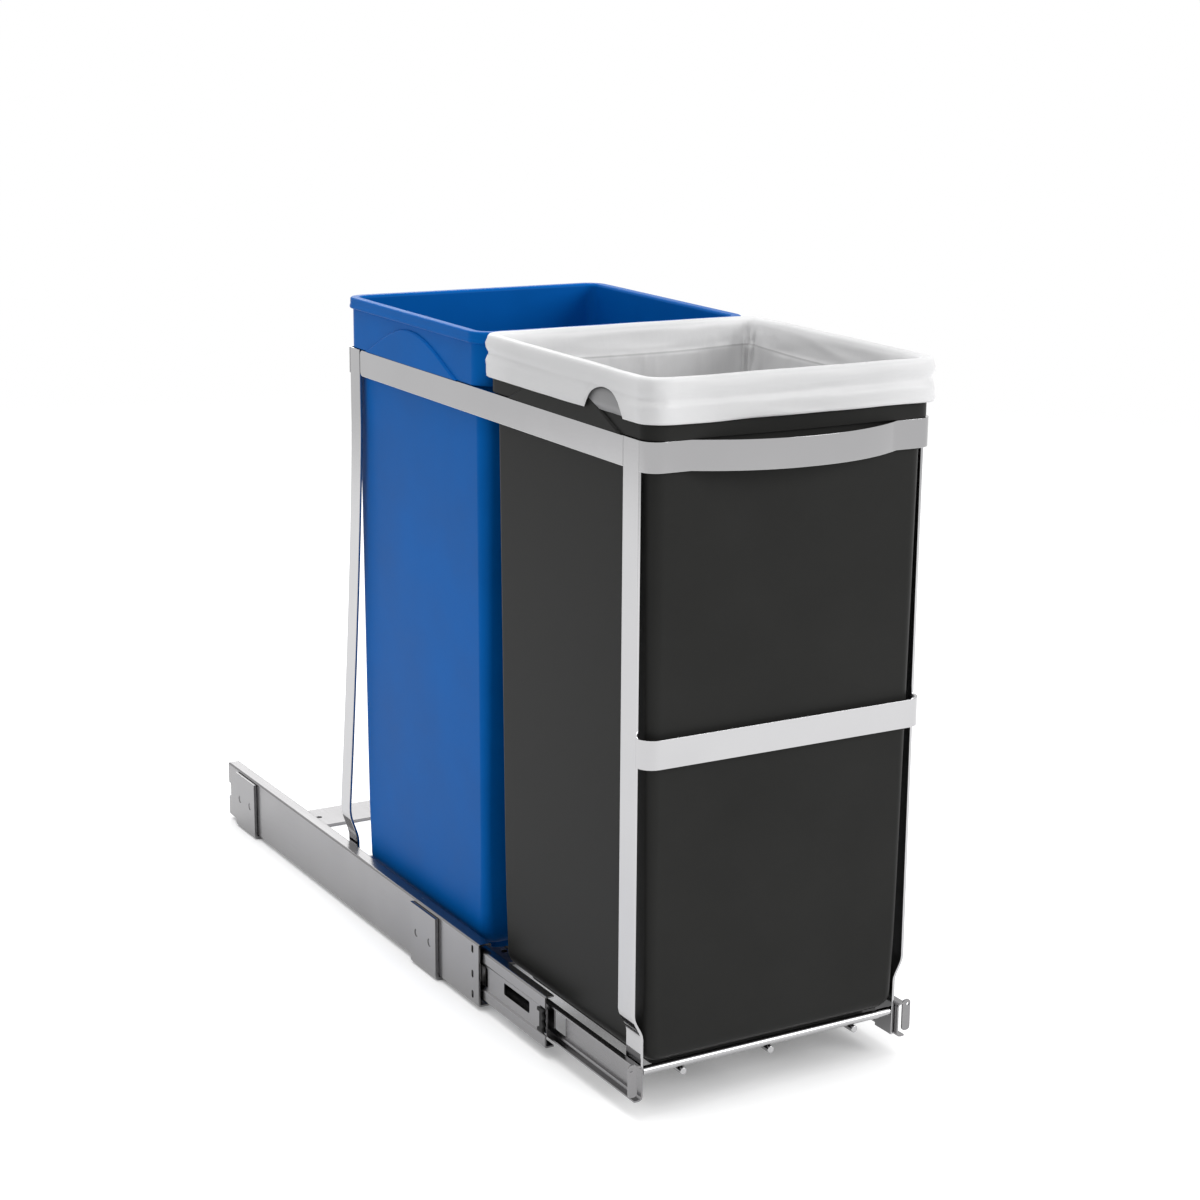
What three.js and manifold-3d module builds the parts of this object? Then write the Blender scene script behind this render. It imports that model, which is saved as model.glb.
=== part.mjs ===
// Pull-out waste sorting insert for a narrow base cabinet.
// Two bins hang in a flat-bar frame that runs on a pair of three-member ball slides.
// Millimetres, +Z up, the user stands at -Y. The origin is the centre of the footprint on the
// cabinet floor, with the frame drawn out as far as in the rest pose.
import * as THREE from "three";
import { mergeVertices } from "three/addons/utils/BufferGeometryUtils.js";
import Module from "manifold-3d";

// Frame.
const FRAME_WIDTH = 211;
const FRAME_DEPTH = 440.3;
const RING_TOP = 440.6;
const MID_BAND_TOP = 255.3;
const BAR_WIDTH = 19;
const BAR_THICK = 2;
const POST_FRONT = 11.5;
const REAR_BEND = 5.5;
const REAR_POST_WIDTH = 16;
const LEAN_TOP = 385;
const LEAN_BOTTOM = 80;
const LEAN = 32.5;
const FOOT_STEP = 6.3;
const FOOT_BOTTOM = 15;
const BAND_SLIT = 1.2;
const BAND_END_RADIUS = 3.5;
const HANDLE_REACH = 20.3;
const HANDLE_FLAT = 18.5;

// Floor of the frame.
const ROD_DIAMETER = 6;
const ROD_HEIGHT = 31.4;
const WIRE_DIAMETER = 5;
const WIRE_PITCH = 67;

// Slides.
const RAIL_PAST_FRAME = 35.7;
const RAIL_HEIGHT = 46.8;
const SLIDE_THICK = 12.7;
const OUTER_SHEET = 1.3;
const MIDDLE_SHEET = 1.2;
const INNER_SHEET = 1.2;
const OUTER_BALL = 3;
const INNER_BALL = 4.6;
const WEB_RECESS = 1.2;
const RECESS_HALF = 9.2;
const CAGE_SHEET = 0.6;
const CAGE_LENGTH = 120;
const BALLS_PER_ROW = 5;
const INNER_FRONT = 8;
const SHOWN_EXTENSION = 207;
const MIDDLE_SET_BACK = 10;
const TAB_IN = 4.2;
const TAB_HEIGHT = 22.3;
const BUMPER_LENGTH = 8;

// Straps under the slides.
const STRAP_THICK = 2.5;
const STRAP_WIDTH = 42;
const STRAP_FROM_END = 64;
const SCREW_HOLE = 5;

// Bins and liner.
const BIN_GAP = 4;
const RIM_ABOVE_RING = 37;
const RIM_OVERHANG = 2.5;
const LIP_HEIGHT = 8;
const SKIRT_WALL = 1.6;
const BIN_WALL = 2.2;
const BODY_INSET = 6;
const BODY_TAPER = 5;
const BIN_CORNER = 10;
const BIN_BOTTOM_RADIUS = 12;
const STAND_RIM_HEIGHT = 6;
const STAND_RIM_WIDTH = 3;
const ARCH_HALF = 74.5;
const ARCH_HEIGHT = 24.5;
const ARCH_PROUD = 0.8;
const FILM = 0.8;
const CUFF_DROP = 26.3;
const NICK_FROM_FRONT = 71.5;
const NICK_HALF = 24.5;
const NICK_HEIGHT = 15.4;

// Clearances.
const GAP = 0.3;
const BALL_PLAY = 0.25;
const CAGE_PLAY = 0.4;

// What follows from the sizes above.
const HALF = FRAME_WIDTH / 2;
const RING_BOTTOM = RING_TOP - BAR_WIDTH;
const REAR_POST_REAR = FRAME_DEPTH - REAR_BEND - 2 * GAP;
const REAR_FOOT_REAR = REAR_POST_REAR + LEAN;
const FOOT_INNER = HALF - FOOT_STEP - BAR_THICK;
const SLIDE_INNER = HALF - FOOT_STEP + GAP;
const RAIL_LENGTH = FRAME_DEPTH + RAIL_PAST_FRAME;
const RAIL_FRONT = INNER_FRONT + SHOWN_EXTENSION;
const RAIL_REAR = RAIL_FRONT + RAIL_LENGTH;
const RAIL_BOTTOM = STRAP_THICK + GAP;
const RAIL_MIDDLE = RAIL_BOTTOM + RAIL_HEIGHT / 2;
const MIDDLE_HEIGHT = RAIL_HEIGHT - 2 * (OUTER_SHEET + OUTER_BALL + 2 * BALL_PLAY);
const INNER_HEIGHT = MIDDLE_HEIGHT - 2 * (MIDDLE_SHEET + INNER_BALL + 2 * BALL_PLAY);
const OUTER_WEB = SLIDE_THICK - OUTER_SHEET / 2;
const OUTER_CAGE_WEB = SLIDE_THICK - OUTER_SHEET - CAGE_PLAY - CAGE_SHEET / 2;
const MIDDLE_WEB = OUTER_CAGE_WEB - CAGE_SHEET / 2 - CAGE_PLAY - MIDDLE_SHEET / 2;
const RECESSED_WEB = MIDDLE_WEB - WEB_RECESS;
const INNER_CAGE_WEB = RECESSED_WEB - MIDDLE_SHEET / 2 - CAGE_PLAY - CAGE_SHEET / 2;
const INNER_DEPTH = INNER_CAGE_WEB - CAGE_SHEET / 2 - CAGE_PLAY;
const MIDDLE_FRONT = RAIL_FRONT + MIDDLE_SET_BACK - SHOWN_EXTENSION / 2;
const MIDDLE_LENGTH = RAIL_LENGTH - MIDDLE_SET_BACK - BUMPER_LENGTH - 4;
const INNER_LENGTH = RAIL_LENGTH - BUMPER_LENGTH - 1;
const STRAP_OUTER = SLIDE_INNER + SLIDE_THICK + GAP + STRAP_THICK;
const RIM_TOP = RING_TOP + RIM_ABOVE_RING;
const RIM_HALF = HALF - 1 + RIM_OVERHANG;
const SKIRT_BOTTOM = RING_TOP + GAP;
const BIN_BOTTOM = ROD_HEIGHT + ROD_DIAMETER / 2 + GAP;
const BLACK_FRONT = -GAP - RIM_OVERHANG;
const BLUE_REAR = FRAME_DEPTH + RIM_OVERHANG;
const BIN_DEPTH = (BLUE_REAR - BLACK_FRONT - BIN_GAP) / 2;
const MIDDLE_Y = (RAIL_REAR - HANDLE_REACH) / 2;

const wasm = await Module();
wasm.setup();

const CHROME = new THREE.MeshStandardMaterial({ color: 0xc8c8cb, metalness: 1, roughness: 0.16 });
const ZINC = new THREE.MeshStandardMaterial({ color: 0x9b999b, metalness: 0.9, roughness: 0.4 });
const CAGE = new THREE.MeshStandardMaterial({ color: 0x8a8986, metalness: 0.9, roughness: 0.35 });
const RUBBER = new THREE.MeshStandardMaterial({ color: 0x1c1c1c, metalness: 0, roughness: 0.8 });
const CHARCOAL = new THREE.MeshStandardMaterial({ color: 0x343433, metalness: 0, roughness: 0.45 });
const BLUE = new THREE.MeshStandardMaterial({ color: 0x1f57a4, metalness: 0, roughness: 0.42 });
const WHITE_FILM = new THREE.MeshStandardMaterial({ color: 0xe6e7ea, metalness: 0, roughness: 0.5 });
const GREY_FILM = new THREE.MeshStandardMaterial({ color: 0x87878a, metalness: 0, roughness: 0.55 });

const part = new THREE.Group();
part.name = "pull_out_waste_cabinet";
const shifted = new THREE.Group();
shifted.position.set(0, -MIDDLE_Y, 0);
part.add(shifted);

function add(name, geometry, material) {
  const mesh = new THREE.Mesh(geometry, material);
  mesh.name = name;
  shifted.add(mesh);
}

// A closed surface as a solid, and back.
function solidOf(geometry) {
  const loose = geometry.index ? geometry.toNonIndexed() : geometry;
  const bare = new THREE.BufferGeometry();
  bare.setAttribute("position", loose.getAttribute("position"));
  const merged = mergeVertices(bare, 1e-4);
  return new wasm.Manifold(
    new wasm.Mesh({
      numProp: 3,
      vertProperties: merged.attributes.position.array,
      triVerts: new Uint32Array(merged.index.array),
    }),
  );
}

function geometryOf(solid) {
  const mesh = solid.getMesh();
  const geometry = new THREE.BufferGeometry();
  geometry.setAttribute("position", new THREE.BufferAttribute(mesh.vertProperties, 3));
  geometry.setIndex(new THREE.BufferAttribute(mesh.triVerts, 1));
  const flat = geometry.toNonIndexed();
  flat.computeVertexNormals();
  return flat;
}

function join(...pieces) {
  return geometryOf(pieces.map(solidOf).reduce((all, piece) => all.add(piece)));
}

function cut(body, ...tools) {
  return geometryOf(tools.map(solidOf).reduce((left, tool) => left.subtract(tool), solidOf(body)));
}

// Rounds the corners of an open path of points.
function rounded(points, radius, steps = 3) {
  const path = points.map(([a, b]) => new THREE.Vector2(a, b));
  const out = [path[0]];
  for (let i = 1; i + 1 < path.length; i++) {
    const back = path[i - 1].clone().sub(path[i]);
    const ahead = path[i + 1].clone().sub(path[i]);
    const half = Math.acos(back.dot(ahead) / (back.length() * ahead.length())) / 2;
    const reach = Math.min(radius / Math.tan(half), 0.49 * back.length(), 0.49 * ahead.length());
    const from = back.setLength(reach).add(path[i]);
    const to = ahead.setLength(reach).add(path[i]);
    out.push(...new THREE.QuadraticBezierCurve(from, path[i], to).getPoints(steps));
  }
  out.push(path[path.length - 1]);
  return out;
}

// Mitred sideways step from point i of a path, one unit off the line.
function sidestep(path, i) {
  const ahead = path[Math.min(i + 1, path.length - 1)].clone().sub(path[Math.min(i, path.length - 2)]);
  const behind = path[Math.max(i, 1)].clone().sub(path[Math.max(i - 1, 0)]);
  const first = new THREE.Vector2(-behind.y, behind.x).normalize();
  const second = new THREE.Vector2(-ahead.y, ahead.x).normalize();
  const mitre = first.clone().add(second).normalize();
  return mitre.divideScalar(mitre.dot(first));
}

// Outline of a sheet of even thickness about a middle line.
function sheetOutline(path, thickness) {
  const left = path.map((p, i) => p.clone().addScaledVector(sidestep(path, i), thickness / 2));
  const right = path.map((p, i) => p.clone().addScaledVector(sidestep(path, i), -thickness / 2));
  return [...left, ...right.reverse()];
}

function extrudeZ(outline, from, to) {
  const depth = to - from;
  const geometry = new THREE.ExtrudeGeometry(new THREE.Shape(outline), { depth, bevelEnabled: false });
  return geometry.translate(0, 0, from);
}

// The outline lies in X and Z.
function extrudeY(outline, from, to) {
  return extrudeZ(outline, 0, to - from).rotateX(Math.PI / 2).translate(0, to, 0);
}

// The outline lies in Y and Z.
function extrudeX(outline, from, to) {
  const turn = new THREE.Matrix4().set(0, 0, 1, 0, 1, 0, 0, 0, 0, 1, 0, 0, 0, 0, 0, 1);
  return extrudeZ(outline, from, to).applyMatrix4(turn);
}

function roundedBox2D(a0, a1, b0, b1, radius, steps = 4) {
  const shape = new THREE.Path();
  shape.moveTo(a0 + radius, b0);
  shape.lineTo(a1 - radius, b0);
  shape.absarc(a1 - radius, b0 + radius, radius, -Math.PI / 2, 0);
  shape.absarc(a1 - radius, b1 - radius, radius, 0, Math.PI / 2);
  shape.absarc(a0 + radius, b1 - radius, radius, Math.PI / 2, Math.PI);
  shape.absarc(a0 + radius, b0 + radius, radius, Math.PI, 1.5 * Math.PI);
  const points = shape.getPoints(steps);
  return points.filter((p, i) => p.distanceTo(points[(i + 1) % points.length]) > 1e-3);
}

// A closed solid through rings of equally many points, with its faces turned outwards.
function loft(rings) {
  const count = rings[0].length;
  const last = (rings.length - 1) * count;
  const index = [];
  for (let ring = 0; ring < last; ring += count) {
    for (let i = 0; i < count; i++) {
      const j = (i + 1) % count;
      index.push(ring + i, ring + j, ring + count + j);
      index.push(ring + i, ring + count + j, ring + count + i);
    }
  }
  for (let i = 1; i + 1 < count; i++) {
    index.push(0, i + 1, i);
    index.push(last, last + i, last + i + 1);
  }
  const corners = rings.flat();
  const volume = index.reduce((sum, corner, i) => {
    if (i % 3) {
      return sum;
    }
    const across = corners[index[i + 1]].clone().cross(corners[index[i + 2]]);
    return sum + corners[corner].dot(across);
  }, 0);
  if (volume < 0) {
    index.reverse();
  }
  const geometry = new THREE.BufferGeometry().setFromPoints(corners);
  geometry.setIndex(index);
  return geometry.toNonIndexed();
}

// Flat bar standing on edge along a plan path that is its outer face.
function edgewiseBar(path, bottom, top, thickness) {
  return loft(
    path.map((p, i) => {
      const inner = p.clone().addScaledVector(sidestep(path, i), thickness);
      return [
        new THREE.Vector3(p.x, p.y, bottom),
        new THREE.Vector3(p.x, p.y, top),
        new THREE.Vector3(inner.x, inner.y, top),
        new THREE.Vector3(inner.x, inner.y, bottom),
      ];
    }),
  );
}

function arc(x, y, radius, from, to, steps = 6) {
  return Array.from({ length: steps + 1 }, (_, i) => {
    const angle = THREE.MathUtils.degToRad(from + ((to - from) * i) / steps);
    return new THREE.Vector2(x + radius * Math.cos(angle), y + radius * Math.sin(angle));
  });
}

function rod(diameter, from, to) {
  const length = from.distanceTo(to);
  const geometry = new THREE.CylinderGeometry(diameter / 2, diameter / 2, length, 16);
  const turn = new THREE.Quaternion().setFromUnitVectors(
    new THREE.Vector3(0, 1, 0),
    to.clone().sub(from).normalize(),
  );
  const middle = from.clone().add(to).multiplyScalar(0.5);
  return geometry.applyQuaternion(turn).translate(middle.x, middle.y, middle.z);
}

const SIDES = [
  ["left", -1],
  ["right", 1],
];

// ---- Slides ----

// Outline in X and Z of a slide member, from points given as distance out from the slide's inner
// face and height over its middle.
function member(side, points, radius, sheet) {
  const path = rounded(points, radius).map(
    (p) => new THREE.Vector2(side * (SLIDE_INNER + p.x), RAIL_MIDDLE + p.y),
  );
  return sheetOutline(path, sheet);
}

function across(side, from, to) {
  const ends = [side * (SLIDE_INNER + from), side * (SLIDE_INNER + to)];
  return [Math.min(...ends), Math.max(...ends)];
}

// An upright slot through a web.
function webSlot(side, web, y0, y1, z0, z1) {
  const [x0, x1] = across(side, web - 1.6, web + 1.6);
  return extrudeX(roundedBox2D(y0, y1, RAIL_MIDDLE + z0, RAIL_MIDDLE + z1, 1.2, 3), x0, x1);
}

function outerRail(side) {
  const half = (RAIL_HEIGHT - OUTER_SHEET) / 2;
  const lip = 2.7 + OUTER_SHEET / 2;
  const curl = 1.6;
  const outline = member(
    side,
    [
      [lip, half - curl],
      [lip, half],
      [OUTER_WEB, half],
      [OUTER_WEB, -half],
      [lip, -half],
      [lip, curl - half],
    ],
    1.2,
    OUTER_SHEET,
  );
  const rail = extrudeY(outline, RAIL_FRONT, RAIL_REAR);
  const slotFront = RAIL_FRONT + 8;
  const slots = [-16.5, -1.2, 17.4].map((z) => {
    return webSlot(side, OUTER_WEB, slotFront, slotFront + 3, z - 2.8, z + 2.8);
  });
  const notch = webSlot(side, OUTER_WEB, RAIL_REAR - 4, RAIL_REAR + 6, -6, 6);
  return cut(rail, ...slots, notch);
}

function middleRail(side) {
  const half = (MIDDLE_HEIGHT - MIDDLE_SHEET) / 2;
  const outline = member(
    side,
    [
      [3, half],
      [MIDDLE_WEB, half],
      [MIDDLE_WEB, RECESS_HALF + WEB_RECESS],
      [RECESSED_WEB, RECESS_HALF],
      [RECESSED_WEB, -RECESS_HALF],
      [MIDDLE_WEB, -RECESS_HALF - WEB_RECESS],
      [MIDDLE_WEB, -half],
      [3, -half],
    ],
    1.3,
    MIDDLE_SHEET,
  );
  const rail = extrudeY(outline, MIDDLE_FRONT, MIDDLE_FRONT + MIDDLE_LENGTH);
  const window = webSlot(side, RECESSED_WEB, MIDDLE_FRONT + 24.5, MIDDLE_FRONT + 62, -2.6, 6);
  const stop = webSlot(side, RECESSED_WEB, MIDDLE_FRONT + 86.8, MIDDLE_FRONT + 100, -7.2, 7.2);
  return cut(rail, window, stop);
}

// The front end is turned out into a tab that takes the door bracket.
function innerRail(side) {
  const half = (INNER_HEIGHT - INNER_SHEET) / 2;
  const web = INNER_SHEET / 2;
  const outline = member(
    side,
    [
      [INNER_DEPTH, half],
      [web, half],
      [web, -half],
      [INNER_DEPTH, -half],
    ],
    3,
    INNER_SHEET,
  );
  const rail = extrudeY(outline, INNER_FRONT, INNER_FRONT + INNER_LENGTH);
  const [x0, x1] = across(side, TAB_IN, OUTER_CAGE_WEB);
  const tabLow = RAIL_MIDDLE + INNER_HEIGHT / 2 + 1.6 - TAB_HEIGHT;
  const corners = roundedBox2D(x0, x1, tabLow, tabLow + TAB_HEIGHT, 2.6, 4);
  const tab = extrudeY(corners, INNER_FRONT, INNER_FRONT + INNER_SHEET);
  const holeAt = new THREE.Vector3(side * (SLIDE_INNER + 8.6), INNER_FRONT - 2, RAIL_MIDDLE + 10.5);
  const hole = rod(2.4, holeAt, holeAt.clone().setY(INNER_FRONT + 4));
  const latch = webSlot(side, web, MIDDLE_FRONT - 13, MIDDLE_FRONT + 3, -7.6, 7.6);
  return cut(join(rail, tab), hole, latch);
}

// Ball cage: a thin channel with a row of balls in each flange.
function cage(side, web, reach, rowHeight, ball, ballOut, front) {
  const outline = member(
    side,
    [
      [reach, rowHeight],
      [web, rowHeight],
      [web, -rowHeight],
      [reach, -rowHeight],
    ],
    0.9,
    CAGE_SHEET,
  );
  const balls = [];
  const pitch = CAGE_LENGTH / BALLS_PER_ROW;
  for (let i = 0; i < BALLS_PER_ROW; i++) {
    for (const up of [-1, 1]) {
      const sphere = new THREE.SphereGeometry(ball / 2, 8, 5);
      const x = side * (SLIDE_INNER + ballOut);
      balls.push(sphere.translate(x, front + pitch * (i + 0.5), RAIL_MIDDLE + up * rowHeight));
    }
  }
  return join(extrudeY(outline, front, front + CAGE_LENGTH), ...balls);
}

const OUTER_ROW = MIDDLE_HEIGHT / 2 + BALL_PLAY + OUTER_BALL / 2;
const INNER_ROW = INNER_HEIGHT / 2 + BALL_PLAY + INNER_BALL / 2;

// A ribbed rubber buffer, hooked at both ends, in the recess at the front of the middle member.
function frontBumper(side) {
  const front = MIDDLE_FRONT + 1.5;
  const back = front + 5.5;
  const hook = back + 3.2;
  const high = RECESS_HALF - 0.6;
  const low = high - 2.6;
  const steps = 18;
  const wave = Array.from({ length: steps + 1 }, (_, i) => {
    const z = RAIL_MIDDLE - high + (2 * high * i) / steps;
    return new THREE.Vector2(front + 0.9 - 0.9 * Math.cos((6 * Math.PI * i) / steps), z);
  });
  const corners = [
    new THREE.Vector2(hook, RAIL_MIDDLE + high),
    new THREE.Vector2(hook, RAIL_MIDDLE + low),
    new THREE.Vector2(back, RAIL_MIDDLE + low),
    new THREE.Vector2(back, RAIL_MIDDLE - low),
    new THREE.Vector2(hook, RAIL_MIDDLE - low),
    new THREE.Vector2(hook, RAIL_MIDDLE - high),
  ];
  const [x0, x1] = across(side, RECESSED_WEB + MIDDLE_SHEET / 2 + GAP, OUTER_CAGE_WEB);
  return extrudeX([...wave, ...corners], x0, x1);
}

function rearBumper(side) {
  const [x0, x1] = across(side, 2, OUTER_WEB - OUTER_SHEET / 2 - GAP);
  const outline = roundedBox2D(x0, x1, RAIL_MIDDLE - 9, RAIL_MIDDLE + 9, 2, 3);
  return extrudeY(outline, RAIL_REAR - BUMPER_LENGTH, RAIL_REAR);
}

for (const [name, side] of SIDES) {
  add("outer_rail_" + name, outerRail(side), ZINC);
  add("rear_bumper_" + name, rearBumper(side), RUBBER);
  add("middle_rail_" + name, middleRail(side), ZINC);
  add("front_bumper_" + name, frontBumper(side), RUBBER);
  add("inner_rail_" + name, innerRail(side), ZINC);
  const outerCageFront = RAIL_FRONT + 83;
  const outerCage = cage(side, OUTER_CAGE_WEB, 4.4, OUTER_ROW, OUTER_BALL, 6.5, outerCageFront);
  add("outer_cage_" + name, outerCage, CAGE);
  const innerCage = cage(side, INNER_CAGE_WEB, 2.5, INNER_ROW, INNER_BALL, 4.6, RAIL_FRONT);
  add("inner_cage_" + name, innerCage, CAGE);
}

// ---- Straps that tie the slides together and screw to the cabinet floor ----

function strap(front) {
  const side = STRAP_OUTER - STRAP_THICK / 2;
  const top = RAIL_BOTTOM + RAIL_HEIGHT - 2;
  const path = rounded(
    [
      [-side, top],
      [-side, STRAP_THICK / 2],
      [side, STRAP_THICK / 2],
      [side, top],
    ],
    2.2,
    4,
  );
  const plate = extrudeY(sheetOutline(path, STRAP_THICK), front, front + STRAP_WIDTH);
  const tools = [];
  const middle = front + STRAP_WIDTH / 2;
  for (const sign of [-1, 1]) {
    for (const x of [0.42 * STRAP_OUTER, 0.76 * STRAP_OUTER]) {
      const low = new THREE.Vector3(sign * x, middle, -1);
      tools.push(rod(SCREW_HOLE, low, low.clone().setZ(STRAP_THICK + 1)));
    }
    for (const y of [middle - 11, middle + 11]) {
      const face = new THREE.Vector3(sign * (STRAP_OUTER - 0.5), y, RAIL_MIDDLE);
      tools.push(rod(6, face, face.clone().setX(sign * (STRAP_OUTER + 2))));
    }
  }
  return cut(plate, ...tools);
}

add("cross_strap_front", strap(RAIL_FRONT + STRAP_FROM_END), ZINC);
add("cross_strap_rear", strap(RAIL_REAR - STRAP_FROM_END), ZINC);

// ---- Frame ----

// Inward step of a post at a height: none above the joggle, the full step at the foot.
function footStep(z, top, bottom) {
  return FOOT_STEP * THREE.MathUtils.smoothstep(top - z, 0, top - bottom);
}

function rearEdge(z) {
  const down = THREE.MathUtils.clamp((LEAN_TOP - z) / (LEAN_TOP - LEAN_BOTTOM), 0, 1);
  return REAR_POST_REAR + LEAN * Math.pow(down, 1.3);
}

function post(side, joggleTop, joggleBottom, levels, edges) {
  return loft(
    levels.map((z) => {
      const outer = side * (HALF - footStep(z, joggleTop, joggleBottom));
      const inner = outer - side * BAR_THICK;
      const [front, back] = edges(z);
      return [
        new THREE.Vector3(outer, front, z),
        new THREE.Vector3(inner, front, z),
        new THREE.Vector3(inner, back, z),
        new THREE.Vector3(outer, back, z),
      ];
    }),
  );
}

function levelsBetween(top, bottom, steps) {
  return Array.from({ length: steps + 1 }, (_, i) => top + ((bottom - top) * i) / steps);
}

const FRONT_JOGGLE = [71, 54];
const REAR_JOGGLE = [76, 50];
const frontLevels = [RING_TOP, ...levelsBetween(...FRONT_JOGGLE, 6), FOOT_BOTTOM];
const rearLevels = [
  RING_TOP,
  ...levelsBetween(LEAN_TOP, LEAN_BOTTOM, 14),
  ...levelsBetween(...REAR_JOGGLE, 7),
  FOOT_BOTTOM,
];

for (const [name, side] of SIDES) {
  const front = post(side, ...FRONT_JOGGLE, frontLevels, () => [POST_FRONT, POST_FRONT + BAR_WIDTH]);
  const rear = post(side, ...REAR_JOGGLE, rearLevels, (z) => [rearEdge(z) - REAR_POST_WIDTH, rearEdge(z)]);
  add("post_front_" + name, front, CHROME);
  add("post_rear_" + name, rear, CHROME);
  const bandFront = POST_FRONT + BAR_WIDTH + GAP;
  const bandRear = REAR_POST_REAR - REAR_POST_WIDTH - BAND_SLIT;
  const endCentre = bandRear - BAND_END_RADIUS;
  const outline = [
    new THREE.Vector2(bandFront, RING_BOTTOM),
    ...arc(endCentre, RING_BOTTOM + BAND_END_RADIUS, BAND_END_RADIUS, -90, 0, 4),
    ...arc(endCentre, RING_TOP - BAND_END_RADIUS, BAND_END_RADIUS, 0, 90, 4),
    new THREE.Vector2(bandFront, RING_TOP),
  ];
  const faces = [side * HALF, side * (HALF - BAR_THICK)];
  add("side_band_" + name, extrudeX(outline, Math.min(...faces), Math.max(...faces)), CHROME);
}

// Plan path of a band round both front corners, with whatever runs between them.
function frontPath(between) {
  const bend = POST_FRONT - 2 * GAP;
  const end = POST_FRONT - GAP;
  return [
    new THREE.Vector2(HALF, end),
    ...arc(HALF - bend, bend, bend, 0, -90),
    ...between,
    ...arc(bend - HALF, bend, bend, 270, 180),
    new THREE.Vector2(-HALF, end),
  ];
}

const bowHalf = HALF - POST_FRONT - HANDLE_FLAT + GAP;
const bow = Array.from({ length: 25 }, (_, i) => {
  const across = 1 - i / 12;
  return new THREE.Vector2(bowHalf * across, -HANDLE_REACH * (1 - Math.pow(Math.abs(across), 2.2)));
});
// The path runs from left to right, so its sideways step points into the frame.
const handlePath = frontPath(bow).reverse();
const midPath = frontPath([]).reverse();
const rearPath = [
  new THREE.Vector2(HALF, REAR_POST_REAR + GAP),
  ...arc(HALF - REAR_BEND, FRAME_DEPTH - REAR_BEND, REAR_BEND, 0, 90, 5),
  ...arc(REAR_BEND - HALF, FRAME_DEPTH - REAR_BEND, REAR_BEND, 90, 180, 5),
  new THREE.Vector2(-HALF, REAR_POST_REAR + GAP),
];
add("handle_band", edgewiseBar(handlePath, RING_BOTTOM, RING_TOP, BAR_THICK), CHROME);
add("mid_band", edgewiseBar(midPath, MID_BAND_TOP - BAR_WIDTH, MID_BAND_TOP, BAR_THICK), CHROME);
add("rear_band", edgewiseBar(rearPath, RING_BOTTOM, RING_TOP, BAR_THICK), CHROME);

const rodHalf = FOOT_INNER - GAP;
const rodRows = [
  ["front", POST_FRONT + ROD_DIAMETER / 2],
  ["rear", REAR_FOOT_REAR - REAR_POST_WIDTH / 2],
];
for (const [name, y] of rodRows) {
  const from = new THREE.Vector3(-rodHalf, y, ROD_HEIGHT);
  add("floor_rod_" + name, rod(ROD_DIAMETER, from, from.clone().setX(rodHalf)), CHROME);
}
const wireHeight = ROD_HEIGHT - (ROD_DIAMETER + WIRE_DIAMETER) / 2 - GAP;
for (let i = 0; i < 3; i++) {
  const from = new THREE.Vector3((i - 1) * WIRE_PITCH, rodRows[0][1] - ROD_DIAMETER / 2, wireHeight);
  const to = from.clone().setY(rodRows[1][1] + ROD_DIAMETER / 2);
  add("floor_wire_" + (i + 1), rod(WIRE_DIAMETER, from, to), CHROME);
}

// ---- Bins ----

// Level ring of a bin or liner, drawn in from the edge of the rim.
function rimRing(front, inset, z, radius) {
  const half = RIM_HALF - inset;
  const low = front + inset + radius;
  const high = front + BIN_DEPTH - inset - radius;
  const ring = [
    ...arc(half - radius, high, radius, 0, 90, 5),
    ...arc(radius - half, high, radius, 90, 180, 5),
    ...arc(radius - half, low, radius, 180, 270, 5),
    ...arc(half - radius, low, radius, 270, 360, 5),
  ];
  return ring.map((p) => new THREE.Vector3(p.x, p.y, z));
}

function cornerAt(inset) {
  return Math.max(BIN_CORNER + BODY_INSET - inset, BIN_CORNER - 4);
}

// Rings round the bottom edge of a shell, from the flat up to the wall or the other way.
function bottomEdge(front, inset, z, radius, upwards) {
  const rings = [0, 1, 2, 3].map((i) => {
    const angle = (i * Math.PI) / 6;
    const drawnIn = inset + radius * (1 - Math.sin(angle));
    return rimRing(front, drawnIn, z + radius * (1 - Math.cos(angle)), BIN_CORNER - 2);
  });
  return upwards ? rings : rings.reverse();
}

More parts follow.
